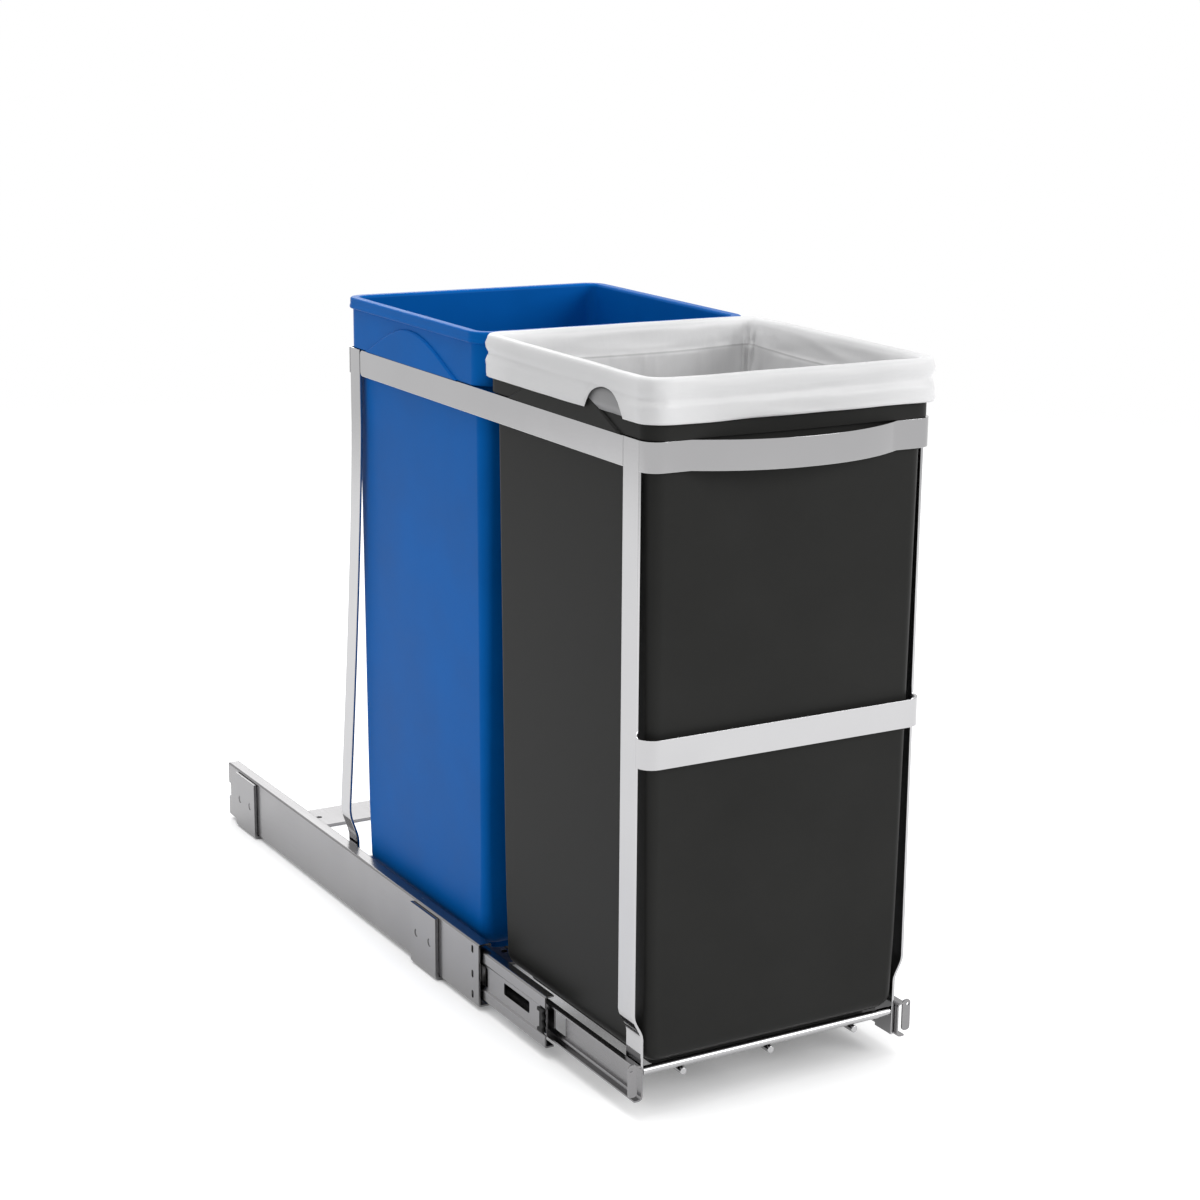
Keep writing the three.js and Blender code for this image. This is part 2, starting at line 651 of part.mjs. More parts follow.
// The foot stands back from the middle of the rim by the set back. Under it is a thin rim for the
// bin to stand on, which hangs between the rods of the frame's floor.
function binShell(front, setBack) {
  const foot = BODY_INSET + BODY_TAPER;
  const skirt = RIM_OVERHANG + SKIRT_WALL;
  const under = RIM_TOP - BIN_WALL - 0.3;
  const innerRadius = BIN_BOTTOM_RADIUS - BIN_WALL;
  const standIn = foot + BIN_BOTTOM_RADIUS;
  const standRim = [
    [standIn + 0.5, BIN_BOTTOM - STAND_RIM_HEIGHT],
    [standIn + STAND_RIM_WIDTH - 0.5, BIN_BOTTOM - STAND_RIM_HEIGHT],
    [standIn + STAND_RIM_WIDTH, BIN_BOTTOM],
  ];
  const edge = [
    [BODY_INSET + BIN_WALL, RIM_TOP - 2.4],
    [BODY_INSET + BIN_WALL - 0.7, RIM_TOP - 0.7],
    [BODY_INSET, RIM_TOP],
    [1.2, RIM_TOP],
    [0.35, RIM_TOP - 0.4],
    [0, RIM_TOP - 1.3],
    [0, RIM_TOP - LIP_HEIGHT + 0.9],
    [0.5, RIM_TOP - LIP_HEIGHT],
    [RIM_OVERHANG, RIM_TOP - LIP_HEIGHT - 0.4],
    [RIM_OVERHANG, SKIRT_BOTTOM],
    [skirt, SKIRT_BOTTOM],
    [skirt, under],
    [BODY_INSET, under],
  ];
  const shell = loft([
    ...bottomEdge(front + setBack, foot + BIN_WALL, BIN_BOTTOM + BIN_WALL, innerRadius, true),
    ...edge.map(([inset, z]) => rimRing(front, inset, z, cornerAt(inset))),
    ...bottomEdge(front + setBack, foot, BIN_BOTTOM, BIN_BOTTOM_RADIUS, false),
    ...standRim.map(([inset, z]) => rimRing(front + setBack, inset, z, BIN_CORNER - 2)),
  ]);
  const middle = front + BIN_DEPTH / 2;
  const arch = Array.from({ length: 17 }, (_, i) => {
    const along = 1 - i / 8;
    const rise = ARCH_HEIGHT * Math.pow(Math.cos((along * Math.PI) / 2), 1.15);
    return new THREE.Vector2(middle + ARCH_HALF * along, SKIRT_BOTTOM + rise);
  });
  const skirtFace = RIM_HALF - RIM_OVERHANG;
  const pads = SIDES.map(([, side]) => {
    const faces = [side * (skirtFace - 0.5), side * (skirtFace + ARCH_PROUD)];
    return extrudeX(arch, Math.min(...faces), Math.max(...faces));
  });
  return join(shell, ...pads);
}

add("black_bin", binShell(BLACK_FRONT, 0), CHARCOAL);
// The rear wall of the blue bin is upright, so its front wall takes the whole taper.
add("blue_bin", binShell(BLUE_REAR - BIN_DEPTH, BODY_TAPER), BLUE);

// ---- Liner: film down the inside of the front bin, turned over its rim as a cuff ----

const CUFF_BOTTOM = RIM_TOP - CUFF_DROP;
const filmIn = BODY_INSET + BIN_WALL + GAP;
const filmFoot = filmIn + BODY_TAPER;

function liner(front) {
  const floor = BIN_BOTTOM + BIN_WALL + GAP;
  const radius = BIN_BOTTOM_RADIUS - BIN_WALL;
  const over = RIM_TOP + GAP;
  const edge = [
    [filmIn + FILM + 0.4, RIM_TOP - 2.4],
    [filmIn + FILM - 1.4, over + FILM - 0.4],
    [BODY_INSET, over + FILM],
    [0.4, over + FILM],
    [-GAP - 0.5 * FILM, over + 0.3],
    [-GAP - FILM, RIM_TOP - 1],
    [-GAP - FILM, CUFF_BOTTOM],
    [-GAP, CUFF_BOTTOM],
    [-GAP, RIM_TOP - 1],
    [0.4, over],
    [BODY_INSET, over],
    [filmIn - 1.2, over - 0.6],
    [filmIn, RIM_TOP - 2.4],
  ];
  const shell = loft([
    ...bottomEdge(front, filmFoot + FILM, floor + FILM, radius, true),
    ...edge.map(([inset, z]) => rimRing(front, inset, z, cornerAt(inset))),
    ...bottomEdge(front, filmFoot, floor, radius, false),
  ]);
  const nick = Array.from({ length: 17 }, (_, i) => {
    const angle = (Math.PI * i) / 16;
    const y = front + NICK_FROM_FRONT + NICK_HALF * Math.cos(angle);
    return new THREE.Vector2(y, CUFF_BOTTOM - 1 + (NICK_HEIGHT + 1) * Math.sin(angle));
  });
  return cut(shell, extrudeX(nick, -RIM_HALF - 6, -RIM_HALF + 0.1));
}

// Drawstring band inside the hem of the cuff.
function drawstring(front) {
  const outside = 0.2;
  const inside = 0.6;
  const low = CUFF_BOTTOM + 1;
  const high = RIM_TOP - LIP_HEIGHT - 2;
  const rings = [
    [inside, low],
    [outside, low],
    [outside, high],
    [inside, high],
  ].map(([inset, z]) => rimRing(front, inset - GAP + 0.2, z, cornerAt(inset)));
  return ringBody(rings);
}

// A closed loop through rings whose last joins the first.
function ringBody(rings) {
  const count = rings[0].length;
  const corners = rings.flat();
  const index = [];
  rings.forEach((_, r) => {
    const here = r * count;
    const next = ((r + 1) % rings.length) * count;
    for (let i = 0; i < count; i++) {
      const j = (i + 1) % count;
      index.push(here + i, here + j, next + j);
      index.push(here + i, next + j, next + i);
    }
  });
  const geometry = new THREE.BufferGeometry().setFromPoints(corners);
  geometry.setIndex(index);
  return geometry.toNonIndexed();
}

add("bin_liner", liner(BLACK_FRONT), WHITE_FILM);
add("liner_drawstring", drawstring(BLACK_FRONT), GREY_FILM);

export default part;
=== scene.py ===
import math

import bmesh
import bpy
from mathutils import Matrix, Vector, noise


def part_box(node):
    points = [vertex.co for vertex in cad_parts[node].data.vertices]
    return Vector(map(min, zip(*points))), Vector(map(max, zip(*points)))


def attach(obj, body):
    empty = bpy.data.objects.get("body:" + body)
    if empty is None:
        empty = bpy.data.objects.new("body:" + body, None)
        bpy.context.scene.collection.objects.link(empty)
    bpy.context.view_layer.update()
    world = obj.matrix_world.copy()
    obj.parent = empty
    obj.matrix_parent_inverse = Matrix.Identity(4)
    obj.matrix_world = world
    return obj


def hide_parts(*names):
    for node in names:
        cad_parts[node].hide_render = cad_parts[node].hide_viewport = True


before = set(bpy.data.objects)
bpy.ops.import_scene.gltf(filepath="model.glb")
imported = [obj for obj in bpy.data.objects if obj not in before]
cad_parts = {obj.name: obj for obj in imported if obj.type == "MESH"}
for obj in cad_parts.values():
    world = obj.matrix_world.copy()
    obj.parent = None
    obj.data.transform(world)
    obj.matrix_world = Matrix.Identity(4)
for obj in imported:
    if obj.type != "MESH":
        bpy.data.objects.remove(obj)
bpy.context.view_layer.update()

bl_info = {
    "name": "Pull-out waste cabinet looks",
    "version": (1, 0, 0),
    "blender": (4, 5, 0),
    "location": "3D View > Sidebar > Waste cabinet",
    "description": "Dresses the pull-out waste cabinet: chromed bars, ball slides, two bins and a liner",
    "category": "Object",
}


# ---------------------------------------------------------------- properties


class BinSizes(bpy.types.PropertyGroup):
    """Sizes that both bins share."""

    wall: bpy.props.FloatProperty(
        name="Wall", description="Thickness of a bin's wall", default=0.0022, unit="LENGTH"
    )
    lip: bpy.props.FloatProperty(
        name="Lip height", description="Height of the bead round the rim", default=0.008, unit="LENGTH"
    )
    overhang: bpy.props.FloatProperty(
        name="Lip overhang",
        description="How far the bead stands over the skirt",
        default=0.0025,
        unit="LENGTH",
    )
    skirt: bpy.props.FloatProperty(
        name="Skirt wall", description="Thickness of the skirt under the rim", default=0.0016, unit="LENGTH"
    )
    inset: bpy.props.FloatProperty(
        name="Body inset",
        description="From the edge of the rim in to the body",
        default=0.006,
        unit="LENGTH",
    )
    taper: bpy.props.FloatProperty(
        name="Taper",
        description="How far each side draws in towards the foot",
        default=0.005,
        unit="LENGTH",
    )
    corner: bpy.props.FloatProperty(
        name="Corner radius",
        description="Radius of the body's upright corners",
        default=0.010,
        unit="LENGTH",
    )
    foot: bpy.props.FloatProperty(
        name="Foot radius", description="Radius round the bottom edge", default=0.012, unit="LENGTH"
    )
    stand: bpy.props.FloatProperty(
        name="Stand height",
        description="Height of the thin rim under the bottom",
        default=0.006,
        unit="LENGTH",
    )
    stand_wide: bpy.props.FloatProperty(
        name="Stand width",
        description="Thickness of the thin rim under the bottom",
        default=0.003,
        unit="LENGTH",
    )
    drop: bpy.props.FloatProperty(
        name="Skirt drop", description="Height of the skirt, lip included", default=0.0367, unit="LENGTH"
    )
    arch_half: bpy.props.FloatProperty(
        name="Arch half length",
        description="Half the length of the raised arch",
        default=0.0745,
        unit="LENGTH",
    )
    arch_rise: bpy.props.FloatProperty(
        name="Arch rise", description="Height of the raised arch", default=0.0245, unit="LENGTH"
    )
    arch_proud: bpy.props.FloatProperty(
        name="Arch relief", description="How far the arch stands out", default=0.0017, unit="LENGTH"
    )


class LinerSizes(bpy.types.PropertyGroup):
    """Sizes of the film liner."""

    cuff: bpy.props.FloatProperty(
        name="Cuff", description="How far the film hangs outside the rim", default=0.0263, unit="LENGTH"
    )
    nick_half: bpy.props.FloatProperty(
        name="Nick half width",
        description="Half the width of the drawstring opening",
        default=0.0218,
        unit="LENGTH",
    )
    nick_rise: bpy.props.FloatProperty(
        name="Nick rise", description="Height of the drawstring opening", default=0.0154, unit="LENGTH"
    )
    nick_place: bpy.props.FloatProperty(
        name="Nick place",
        description="From the bin's front edge to the opening",
        default=0.0540,
        unit="LENGTH",
    )
    fold_depth: bpy.props.FloatProperty(
        name="Fold depth", description="Depth of the folds low in the bin", default=0.007, unit="LENGTH"
    )


class FinishColours(bpy.types.PropertyGroup):
    """Colours of the finishes."""

    chrome: bpy.props.FloatVectorProperty(
        name="Chrome",
        description="Tint of the chromed bars",
        subtype="COLOR",
        size=3,
        default=(0.44, 0.438, 0.444),
    )
    zinc: bpy.props.FloatVectorProperty(
        name="Zinc",
        description="Tint of the slides and straps",
        subtype="COLOR",
        size=3,
        default=(0.25, 0.246, 0.25),
    )
    charcoal: bpy.props.FloatVectorProperty(
        name="Charcoal", description="Front bin", subtype="COLOR", size=3, default=(0.029, 0.029, 0.028)
    )
    blue: bpy.props.FloatVectorProperty(
        name="Blue", description="Rear bin", subtype="COLOR", size=3, default=(0.001, 0.125, 0.47)
    )
    film: bpy.props.FloatVectorProperty(
        name="Film",
        description="Liner where it is doubled",
        subtype="COLOR",
        size=3,
        default=(0.74, 0.74, 0.745),
    )
    # painted shade: deep in the bin the film is blended further towards this colour the lower it hangs
    film_single: bpy.props.FloatVectorProperty(
        name="Single film",
        description="Liner low in the bin, where the dark wall shows through one layer",
        subtype="COLOR",
        size=3,
        default=(0.58, 0.578, 0.582),
    )
    tape: bpy.props.FloatVectorProperty(
        name="Tape", description="Drawstring tape", subtype="COLOR", size=3, default=(0.26, 0.26, 0.265)
    )


# ---------------------------------------------------------------- shared shader groups


def group(name, inputs, outputs):
    """An empty shader node group with named sockets."""
    tree = bpy.data.node_groups.new(name, "ShaderNodeTree")
    for label, kind, value in inputs:
        socket = tree.interface.new_socket(name=label, in_out="INPUT", socket_type=kind)
        socket.default_value = value
    for label, kind in outputs:
        tree.interface.new_socket(name=label, in_out="OUTPUT", socket_type=kind)
    return tree, tree.nodes.new("NodeGroupInput"), tree.nodes.new("NodeGroupOutput")


def math_node(tree, kind, first, second, clamp=False):
    """The result of one calculation on two sockets or numbers."""
    node = tree.nodes.new("ShaderNodeMath")
    node.operation = kind
    node.use_clamp = clamp
    for socket, value in zip(node.inputs, (first, second)):
        if isinstance(value, (int, float)):
            socket.default_value = value
        else:
            tree.links.new(value, socket)
    return node.outputs[0]


def noise_node(tree, vector, scale, detail, distortion=0.0):
    """Noise over a place in the object."""
    node = tree.nodes.new("ShaderNodeTexNoise")
    node.inputs["Scale"].default_value = scale
    node.inputs["Detail"].default_value = detail
    node.inputs["Distortion"].default_value = distortion
    tree.links.new(vector, node.inputs["Vector"])
    return node


def darkened(tree, colour, keep):
    """The colour multiplied by a grey value."""
    grey = tree.nodes.new("ShaderNodeCombineColor")
    for channel in grey.inputs:
        tree.links.new(keep, channel)
    tint = tree.nodes.new("ShaderNodeMix")
    tint.data_type = "RGBA"
    tint.blend_type = "MULTIPLY"
    tint.inputs["Factor"].default_value = 1.0
    tree.links.new(colour, tint.inputs["A"])
    tree.links.new(grey.outputs["Color"], tint.inputs["B"])
    return tint.outputs["Result"]


def blended(tree, share, first, second):
    """The first colour going over into the second."""
    mix = tree.nodes.new("ShaderNodeMix")
    mix.data_type = "RGBA"
    tree.links.new(share, mix.inputs["Factor"])
    tree.links.new(first, mix.inputs["A"])
    tree.links.new(second, mix.inputs["B"])
    return mix.outputs["Result"]


def stretched(tree, vector):
    """The place in the object multiplied axis by axis; the factors go in the second input."""
    node = tree.nodes.new("ShaderNodeVectorMath")
    node.operation = "MULTIPLY"
    tree.links.new(vector, node.inputs[0])
    return node


def moulded_grain():
    """Fine spark-eroded grain of moulded plastic, with a slow unevenness."""
    tree, given, out = group(
        "moulded_grain",
        [
            ("Colour", "NodeSocketColor", (0.5, 0.5, 0.5, 1)),
            ("Grain scale", "NodeSocketFloat", 900.0),
            ("Base roughness", "NodeSocketFloat", 0.4),
            ("Scuffs", "NodeSocketFloat", 0.3),
        ],
        [
            ("Colour", "NodeSocketColor"),
            ("Roughness", "NodeSocketFloat"),
            ("Height", "NodeSocketFloat"),
        ],
    )
    where = tree.nodes.new("ShaderNodeTexCoord").outputs["Object"]
    fine = noise_node(tree, where, 5.0, 3.0)
    tree.links.new(given.outputs["Grain scale"], fine.inputs["Scale"])
    slow = noise_node(tree, where, 14.0, 5.0)
    rubbed = math_node(tree, "SUBTRACT", slow.outputs["Fac"], 0.5)
    rubbed = math_node(tree, "MULTIPLY", rubbed, given.outputs["Scuffs"])
    rough = math_node(tree, "ADD", rubbed, given.outputs["Base roughness"], clamp=True)
    tree.links.new(rough, out.inputs["Roughness"])
    tree.links.new(fine.outputs["Fac"], out.inputs["Height"])
    shade = math_node(tree, "MULTIPLY", slow.outputs["Fac"], 0.35)
    shade = math_node(tree, "ADD", shade, 0.82)
    tree.links.new(darkened(tree, given.outputs["Colour"], shade), out.inputs["Colour"])
    return tree


def drawn_metal():
    """Long faint streaks left along rolled or drawn steel, with slow waves."""
    tree, given, out = group(
        "drawn_metal",
        [
            ("Colour", "NodeSocketColor", (0.5, 0.5, 0.5, 1)),
            ("Along", "NodeSocketVector", (1.0, 1.0, 1.0)),
            ("Base roughness", "NodeSocketFloat", 0.2),
            ("Streaks", "NodeSocketFloat", 0.1),
            ("Stain", "NodeSocketFloat", 0.1),
        ],
        [
            ("Colour", "NodeSocketColor"),
            ("Roughness", "NodeSocketFloat"),
            ("Height", "NodeSocketFloat"),
        ],
    )
    where = tree.nodes.new("ShaderNodeTexCoord").outputs["Object"]
    drawn = stretched(tree, where)
    tree.links.new(given.outputs["Along"], drawn.inputs[1])
    streak = noise_node(tree, drawn.outputs["Vector"], 1.0, 4.0)
    wave = noise_node(tree, where, 22.0, 4.0)
    line = math_node(tree, "SUBTRACT", streak.outputs["Fac"], 0.5)
    line = math_node(tree, "MULTIPLY", line, given.outputs["Streaks"])
    rough = math_node(tree, "ADD", line, given.outputs["Base roughness"], clamp=True)
    tree.links.new(rough, out.inputs["Roughness"])
    height = math_node(tree, "MULTIPLY", streak.outputs["Fac"], 0.35)
    height = math_node(tree, "ADD", height, wave.outputs["Fac"])
    tree.links.new(height, out.inputs["Height"])
    dull = math_node(tree, "MULTIPLY", wave.outputs["Fac"], given.outputs["Stain"])
    keep = math_node(tree, "SUBTRACT", 1.0, dull)
    tree.links.new(darkened(tree, given.outputs["Colour"], keep), out.inputs["Colour"])
    return tree


def shared(name, maker):
    """The node group of that name, made on its first use."""
    return bpy.data.node_groups.get(name) or maker()


def finish_from_group(name, tree, settings, colour, bump, plain):
    """A Principled material whose colour, roughness and bump come from a shared group."""
    material = bpy.data.materials.get(name)
    if material:
        return material
    material = bpy.data.materials.new(name)
    material.use_nodes = True
    nodes, links = material.node_tree.nodes, material.node_tree.links
    shader = nodes["Principled BSDF"]
    effect = nodes.new("ShaderNodeGroup")
    effect.node_tree = tree
    effect.inputs["Colour"].default_value = (*colour, 1)
    for label, value in settings.items():
        effect.inputs[label].default_value = value
    links.new(effect.outputs["Colour"], shader.inputs["Base Color"])
    links.new(effect.outputs["Roughness"], shader.inputs["Roughness"])
    relief = nodes.new("ShaderNodeBump")
    relief.inputs["Strength"].default_value = bump[0]
    relief.inputs["Distance"].default_value = bump[1]
    links.new(effect.outputs["Height"], relief.inputs["Height"])
    links.new(relief.outputs["Normal"], shader.inputs["Normal"])
    for label, value in plain.items():
        shader.inputs[label].default_value = value
    return material


RUBBER_COLOUR = (0.012, 0.012, 0.012)
CAGE_COLOUR = (0.36, 0.355, 0.35)
BIN_ROUGHNESS = 0.36
BIN_SPECULAR = 0.035

# A finish's bump is (strength, distance in metres).


def plastic(name, colour, roughness, grain=850.0, scuffs=0.18, bump=(0.12, 0.0002), specular=0.5):
    """Moulded plastic or rubber."""
    tree = shared("moulded_grain", moulded_grain)
    settings = {"Grain scale": grain, "Base roughness": roughness, "Scuffs": scuffs}
    return finish_from_group(name, tree, settings, colour, bump, {"Specular IOR Level": specular})


def metal(name, colour, roughness, along, streaks, stain, bump):
    """Plated or plain steel."""
    tree = shared("drawn_metal", drawn_metal)
    settings = {"Along": along, "Base roughness": roughness, "Streaks": streaks, "Stain": stain}
    return finish_from_group(name, tree, settings, colour, bump, {"Metallic": 1.0})


def chrome_material():
    colour = bpy.context.scene.cabinet_colours.chrome
    return metal("polished_chrome", colour, 0.08, (60, 60, 60), 0.05, 0.08, (0.05, 0.0005))


def zinc_material():
    colour = bpy.context.scene.cabinet_colours.zinc
    return metal("zinc_plated_steel", colour, 0.24, (900, 12, 900), 0.14, 0.18, (0.10, 0.0004))


def rubber_material():
    return plastic("black_rubber", RUBBER_COLOUR, 0.72, 500.0, 0.15, (0.25, 0.0003), 0.3)


# ---------------------------------------------------------------- mesh helpers

WELD = 3e-6  # points of a CAD mesh nearer than this are one, in metres
EDGE_ANGLE = math.radians(35)  # edges sharper than this are rounded
FLAT_ANGLE = math.radians(0.4)  # faces that meet at less than this are joined
CURVED_ANGLE = math.radians(8)  # the same for pairs of triangles on a bowed bar


def place(name, mesh, material, slot, body, *nodes):
    """Puts a mesh in the scene as a piece that rides on a body and stands for CAD nodes."""
    piece = bpy.data.objects.new(name, mesh)
    bpy.context.scene.collection.objects.link(piece)
    mesh.materials.clear()
    mesh.materials.append(material)
    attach(piece, body)
    if nodes:
        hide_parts(*nodes)
    return piece


def even_shading(piece):
    even = piece.modifiers.new("even_shading", "WEIGHTED_NORMAL")
    even.weight = 80
    even.keep_sharp = True


def soften(piece, width, segments=2):
    """Rounds the sharp edges of a piece and evens its shading."""
    bevel = piece.modifiers.new("edge_round", "BEVEL")
    bevel.width = width
    bevel.segments = segments
    bevel.limit_method = "ANGLE"
    bevel.angle_limit = EDGE_ANGLE
    bevel.miter_outer = "MITER_SHARP"
    bevel.use_clamp_overlap = True
    even_shading(piece)


def dressed(node, material, slot, body, width, segments=2, curved=False):
    """A finer copy of a CAD node: joined faces, rounded edges and even shading."""
    bm = bmesh.new()
    bm.from_mesh(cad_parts[node].data)
    bmesh.ops.remove_doubles(bm, verts=bm.verts, dist=WELD)
    if curved:
        bmesh.ops.join_triangles(
            bm, faces=bm.faces, angle_face_threshold=CURVED_ANGLE, angle_shape_threshold=math.pi
        )
    else:
        bmesh.ops.dissolve_limit(bm, angle_limit=FLAT_ANGLE, verts=bm.verts, edges=bm.edges)
    bm.verts.index_update()
    points = [v.co.copy() for v in bm.verts]
    faces = [[v.index for v in f.verts] for f in bm.faces]
    bm.free()
    mesh = bpy.data.meshes.new(node + "_finished")
    mesh.from_pydata(points, [], faces)
    mesh.shade_smooth()
    piece = place(node + "_finished", mesh, material, slot, body, node)
    soften(piece, width, segments)
    return piece


def repaint(node, material):
    """Gives a CAD node that stays as it is a better material."""
    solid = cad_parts[node]
    solid.data.materials.clear()
    solid.data.materials.append(material)


class Outline:
    """Rounded rectangle in plan, drawn in from a rim by an inset."""

    def __init__(self, low, high, corner, along, round_steps):
        self.half_x = (high.x - low.x) / 2
        self.middle_x = (high.x + low.x) / 2
        self.front, self.back = low.y, high.y
        self.corner = corner
        self.along = along
        self.round_steps = round_steps

    def ring(self, inset, z, radius=None):
        """Points of one level ring, anticlockwise from the back end of the right side."""
        radius = self.corner(inset) if radius is None else radius
        x1 = self.half_x - inset
        y0, y1 = self.front + inset, self.back - inset
        corners = [
            (x1 - radius, y1 - radius, 0),
            (radius - x1, y1 - radius, 90),
            (radius - x1, y0 + radius, 180),
            (x1 - radius, y0 + radius, 270),
        ]
        points = []
        for i, (cx, cy, start) in enumerate(corners):
            for step in range(self.round_steps + 1):
                angle = math.radians(start + 90 * step / self.round_steps)
                points.append((cx + radius * math.cos(angle), cy + radius * math.sin(angle)))
            nx, ny, _ = corners[(i + 1) % 4]
            end = math.radians(start + 90)
            ax, ay = cx + radius * math.cos(end), cy + radius * math.sin(end)
            bx, by = nx + radius * math.cos(end), ny + radius * math.sin(end)
            for step in range(1, self.along):
                t = step / self.along
                points.append((ax + (bx - ax) * t, ay + (by - ay) * t))
        return [Vector((self.middle_x + x, y, z)) for x, y in points]


def skin(rings, close_first=True, close_last=True):
    """Points and faces of a surface through rings of equally many points."""
    count = len(rings[0])
    points = [p for ring in rings for p in ring]
    faces = []
    for r in range(len(rings) - 1):
        for i in range(count):
            j = (i + 1) % count
            a, b = r * count + i, r * count + j
            faces.append((a, b, b + count, a + count))
    if close_first:
        faces.append(tuple(reversed(range(count))))
    if close_last:
        last = (len(rings) - 1) * count
        faces.append(tuple(range(last, last + count)))
    return points, faces


def outward(mesh):
    bm = bmesh.new()
    bm.from_mesh(mesh)
    bmesh.ops.recalc_face_normals(bm, faces=bm.faces)
    bm.to_mesh(mesh)
    bm.free()


# ---------------------------------------------------------------- bins

SHARP_ANGLE = math.radians(50)  # a bin's faces that meet at more than this keep a sharp edge
FOOT_CORNER_LESS = 0.002  # how much tighter a bin's corners are at its foot
RIM_ROUND_WIDE, RIM_ROUND_HIGH = 0.0022, 0.0024  # rounding from the inside wall to the top


def bin_outline(node, along, round_steps):
    sizes = bpy.context.scene.bin_sizes
    low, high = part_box(node)

    def corner(inset):
        return max(sizes.corner + sizes.inset - inset, sizes.corner - 0.004)

    return Outline(low, high, corner, along, round_steps), low.z + sizes.stand, high.z


def fillet(start, end, bulge, steps):
    """Points of a quarter turn between two (inset, z) pairs, on an ellipse."""
    (i0, z0), (i1, z1) = start, end
    out = []
    for step in range(steps + 1):
        angle = math.pi / 2 * step / steps
        s, c = math.sin(angle), 1 - math.cos(angle)
        if bulge == "z_first":
            out.append((i0 + (i1 - i0) * c, z0 + (z1 - z0) * s))
        else:
            out.append((i0 + (i1 - i0) * s, z0 + (z1 - z0) * c))
    return out


def bin_profile(bottom, top):
    """Section of a bin, as (inset, height), from the inside floor over the rim to the stand rim."""
    s = bpy.context.scene.bin_sizes
    foot = s.inset + s.taper
    inner_radius = s.foot - s.wall
    floor = bottom + s.wall
    under = top - s.wall - 0.0003
    skirt_low = top - s.drop
    lip_low = top - s.lip
    wall_top = s.inset + s.wall
    profile = [(foot + s.wall + inner_radius + 0.02, floor)]
    profile += fillet(
        (foot + s.wall + inner_radius, floor), (foot + s.wall, floor + inner_radius), "inset_first", 8
    )
    steps = 10
    round_low = top - RIM_ROUND_HIGH
    for i in range(1, steps):
        t = i / steps
        height = floor + inner_radius + (round_low - floor - inner_radius) * t
        profile.append((foot + s.wall - s.taper * t, height))
    profile += fillet((wall_top, round_low), (wall_top - RIM_ROUND_WIDE, top), "z_first", 5)
    profile.append((0.0028, top))
    profile += fillet((0.0018, top), (0.0005, top - 0.0013), "inset_first", 5)
    profile += [(0.0005, lip_low + 0.0032), (0.0002, lip_low + 0.0026), (0.0, lip_low + 0.0020)]
    profile += fillet((0.0, lip_low + 0.0010), (0.0009, lip_low), "z_first", 4)
    profile += [(s.overhang - 0.0005, lip_low), (s.overhang - 0.00012, lip_low - 0.0001)]
    profile += [(s.overhang, lip_low - 0.0006), (s.overhang, (lip_low + skirt_low) / 2)]
    profile += fillet((s.overhang, skirt_low + 0.0005), (s.overhang + 0.0005, skirt_low), "z_first", 3)
    skirt_in = s.overhang + s.skirt
    profile += fillet((skirt_in - 0.0004, skirt_low), (skirt_in, skirt_low + 0.0004), "inset_first", 3)
    profile += [(skirt_in, under), (s.inset, under)]
    for i in range(1, steps):
        t = i / steps
        profile.append((s.inset + s.taper * t, under + (bottom + s.foot - under) * t))
    profile += fillet((foot, bottom + s.foot), (foot + s.foot, bottom), "z_first", 8)
    stand = foot + s.foot
    low = bottom - s.stand
    profile += [(stand + 0.0002, bottom - 0.0004), (stand + 0.0005, low + 0.0006), (stand + 0.0009, low)]
    profile += [(stand + s.stand_wide - 0.0009, low), (stand + s.stand_wide - 0.0005, low + 0.0006)]
    profile.append((stand + s.stand_wide, bottom))
    return profile


def raised_arch(outline, side, base):
    """Closed prism of the arch pressed into the side of a skirt."""
    s = bpy.context.scene.bin_sizes
    face = outline.half_x - s.overhang
    middle = (outline.front + outline.back) / 2
    steps = 48

    def edge(drawn_in, out):
        points = []
        for i in range(steps + 1):
            along = 1 - 2 * i / steps
            rise = s.arch_rise * max(math.cos(along * math.pi / 2), 0.0) ** 1.15
            half = s.arch_half - drawn_in
            z = base + 0.0002 + max(rise - drawn_in * (0.4 + rise / s.arch_rise), 0.0)
            points.append(Vector((side * (face + out), middle + half * along, z)))
        points.append(Vector((side * (face + out), middle, base)))
        return points

    rings = [
        edge(0.0, -0.0006),
        edge(0.0, s.arch_proud * 0.3),
        edge(0.0006, s.arch_proud * 0.8),
        edge(0.0015, s.arch_proud),
    ]
    return skin(rings)


def join_arch(piece, outline, side, base):
    """Joins the arch to one side of a bin, so that both are one shell."""
    arch_points, arch_faces = raised_arch(outline, side, base)
    arch_mesh = bpy.data.meshes.new("arch_tool")
    arch_mesh.from_pydata(arch_points, [], arch_faces)
    outward(arch_mesh)
    tool = bpy.data.objects.new("arch_tool", arch_mesh)
    bpy.context.scene.collection.objects.link(tool)
    union = piece.modifiers.new("raised_arch", "BOOLEAN")
    union.operation = "UNION"
    union.solver = "EXACT"
    union.object = tool
    seen = piece.evaluated_get(bpy.context.evaluated_depsgraph_get())
    baked = bpy.data.meshes.new_from_object(seen)
    piece.modifiers.remove(union)
    old = piece.data
    piece.data = baked
    bpy.data.meshes.remove(old)
    bpy.data.objects.remove(tool)
    bpy.data.meshes.remove(arch_mesh)


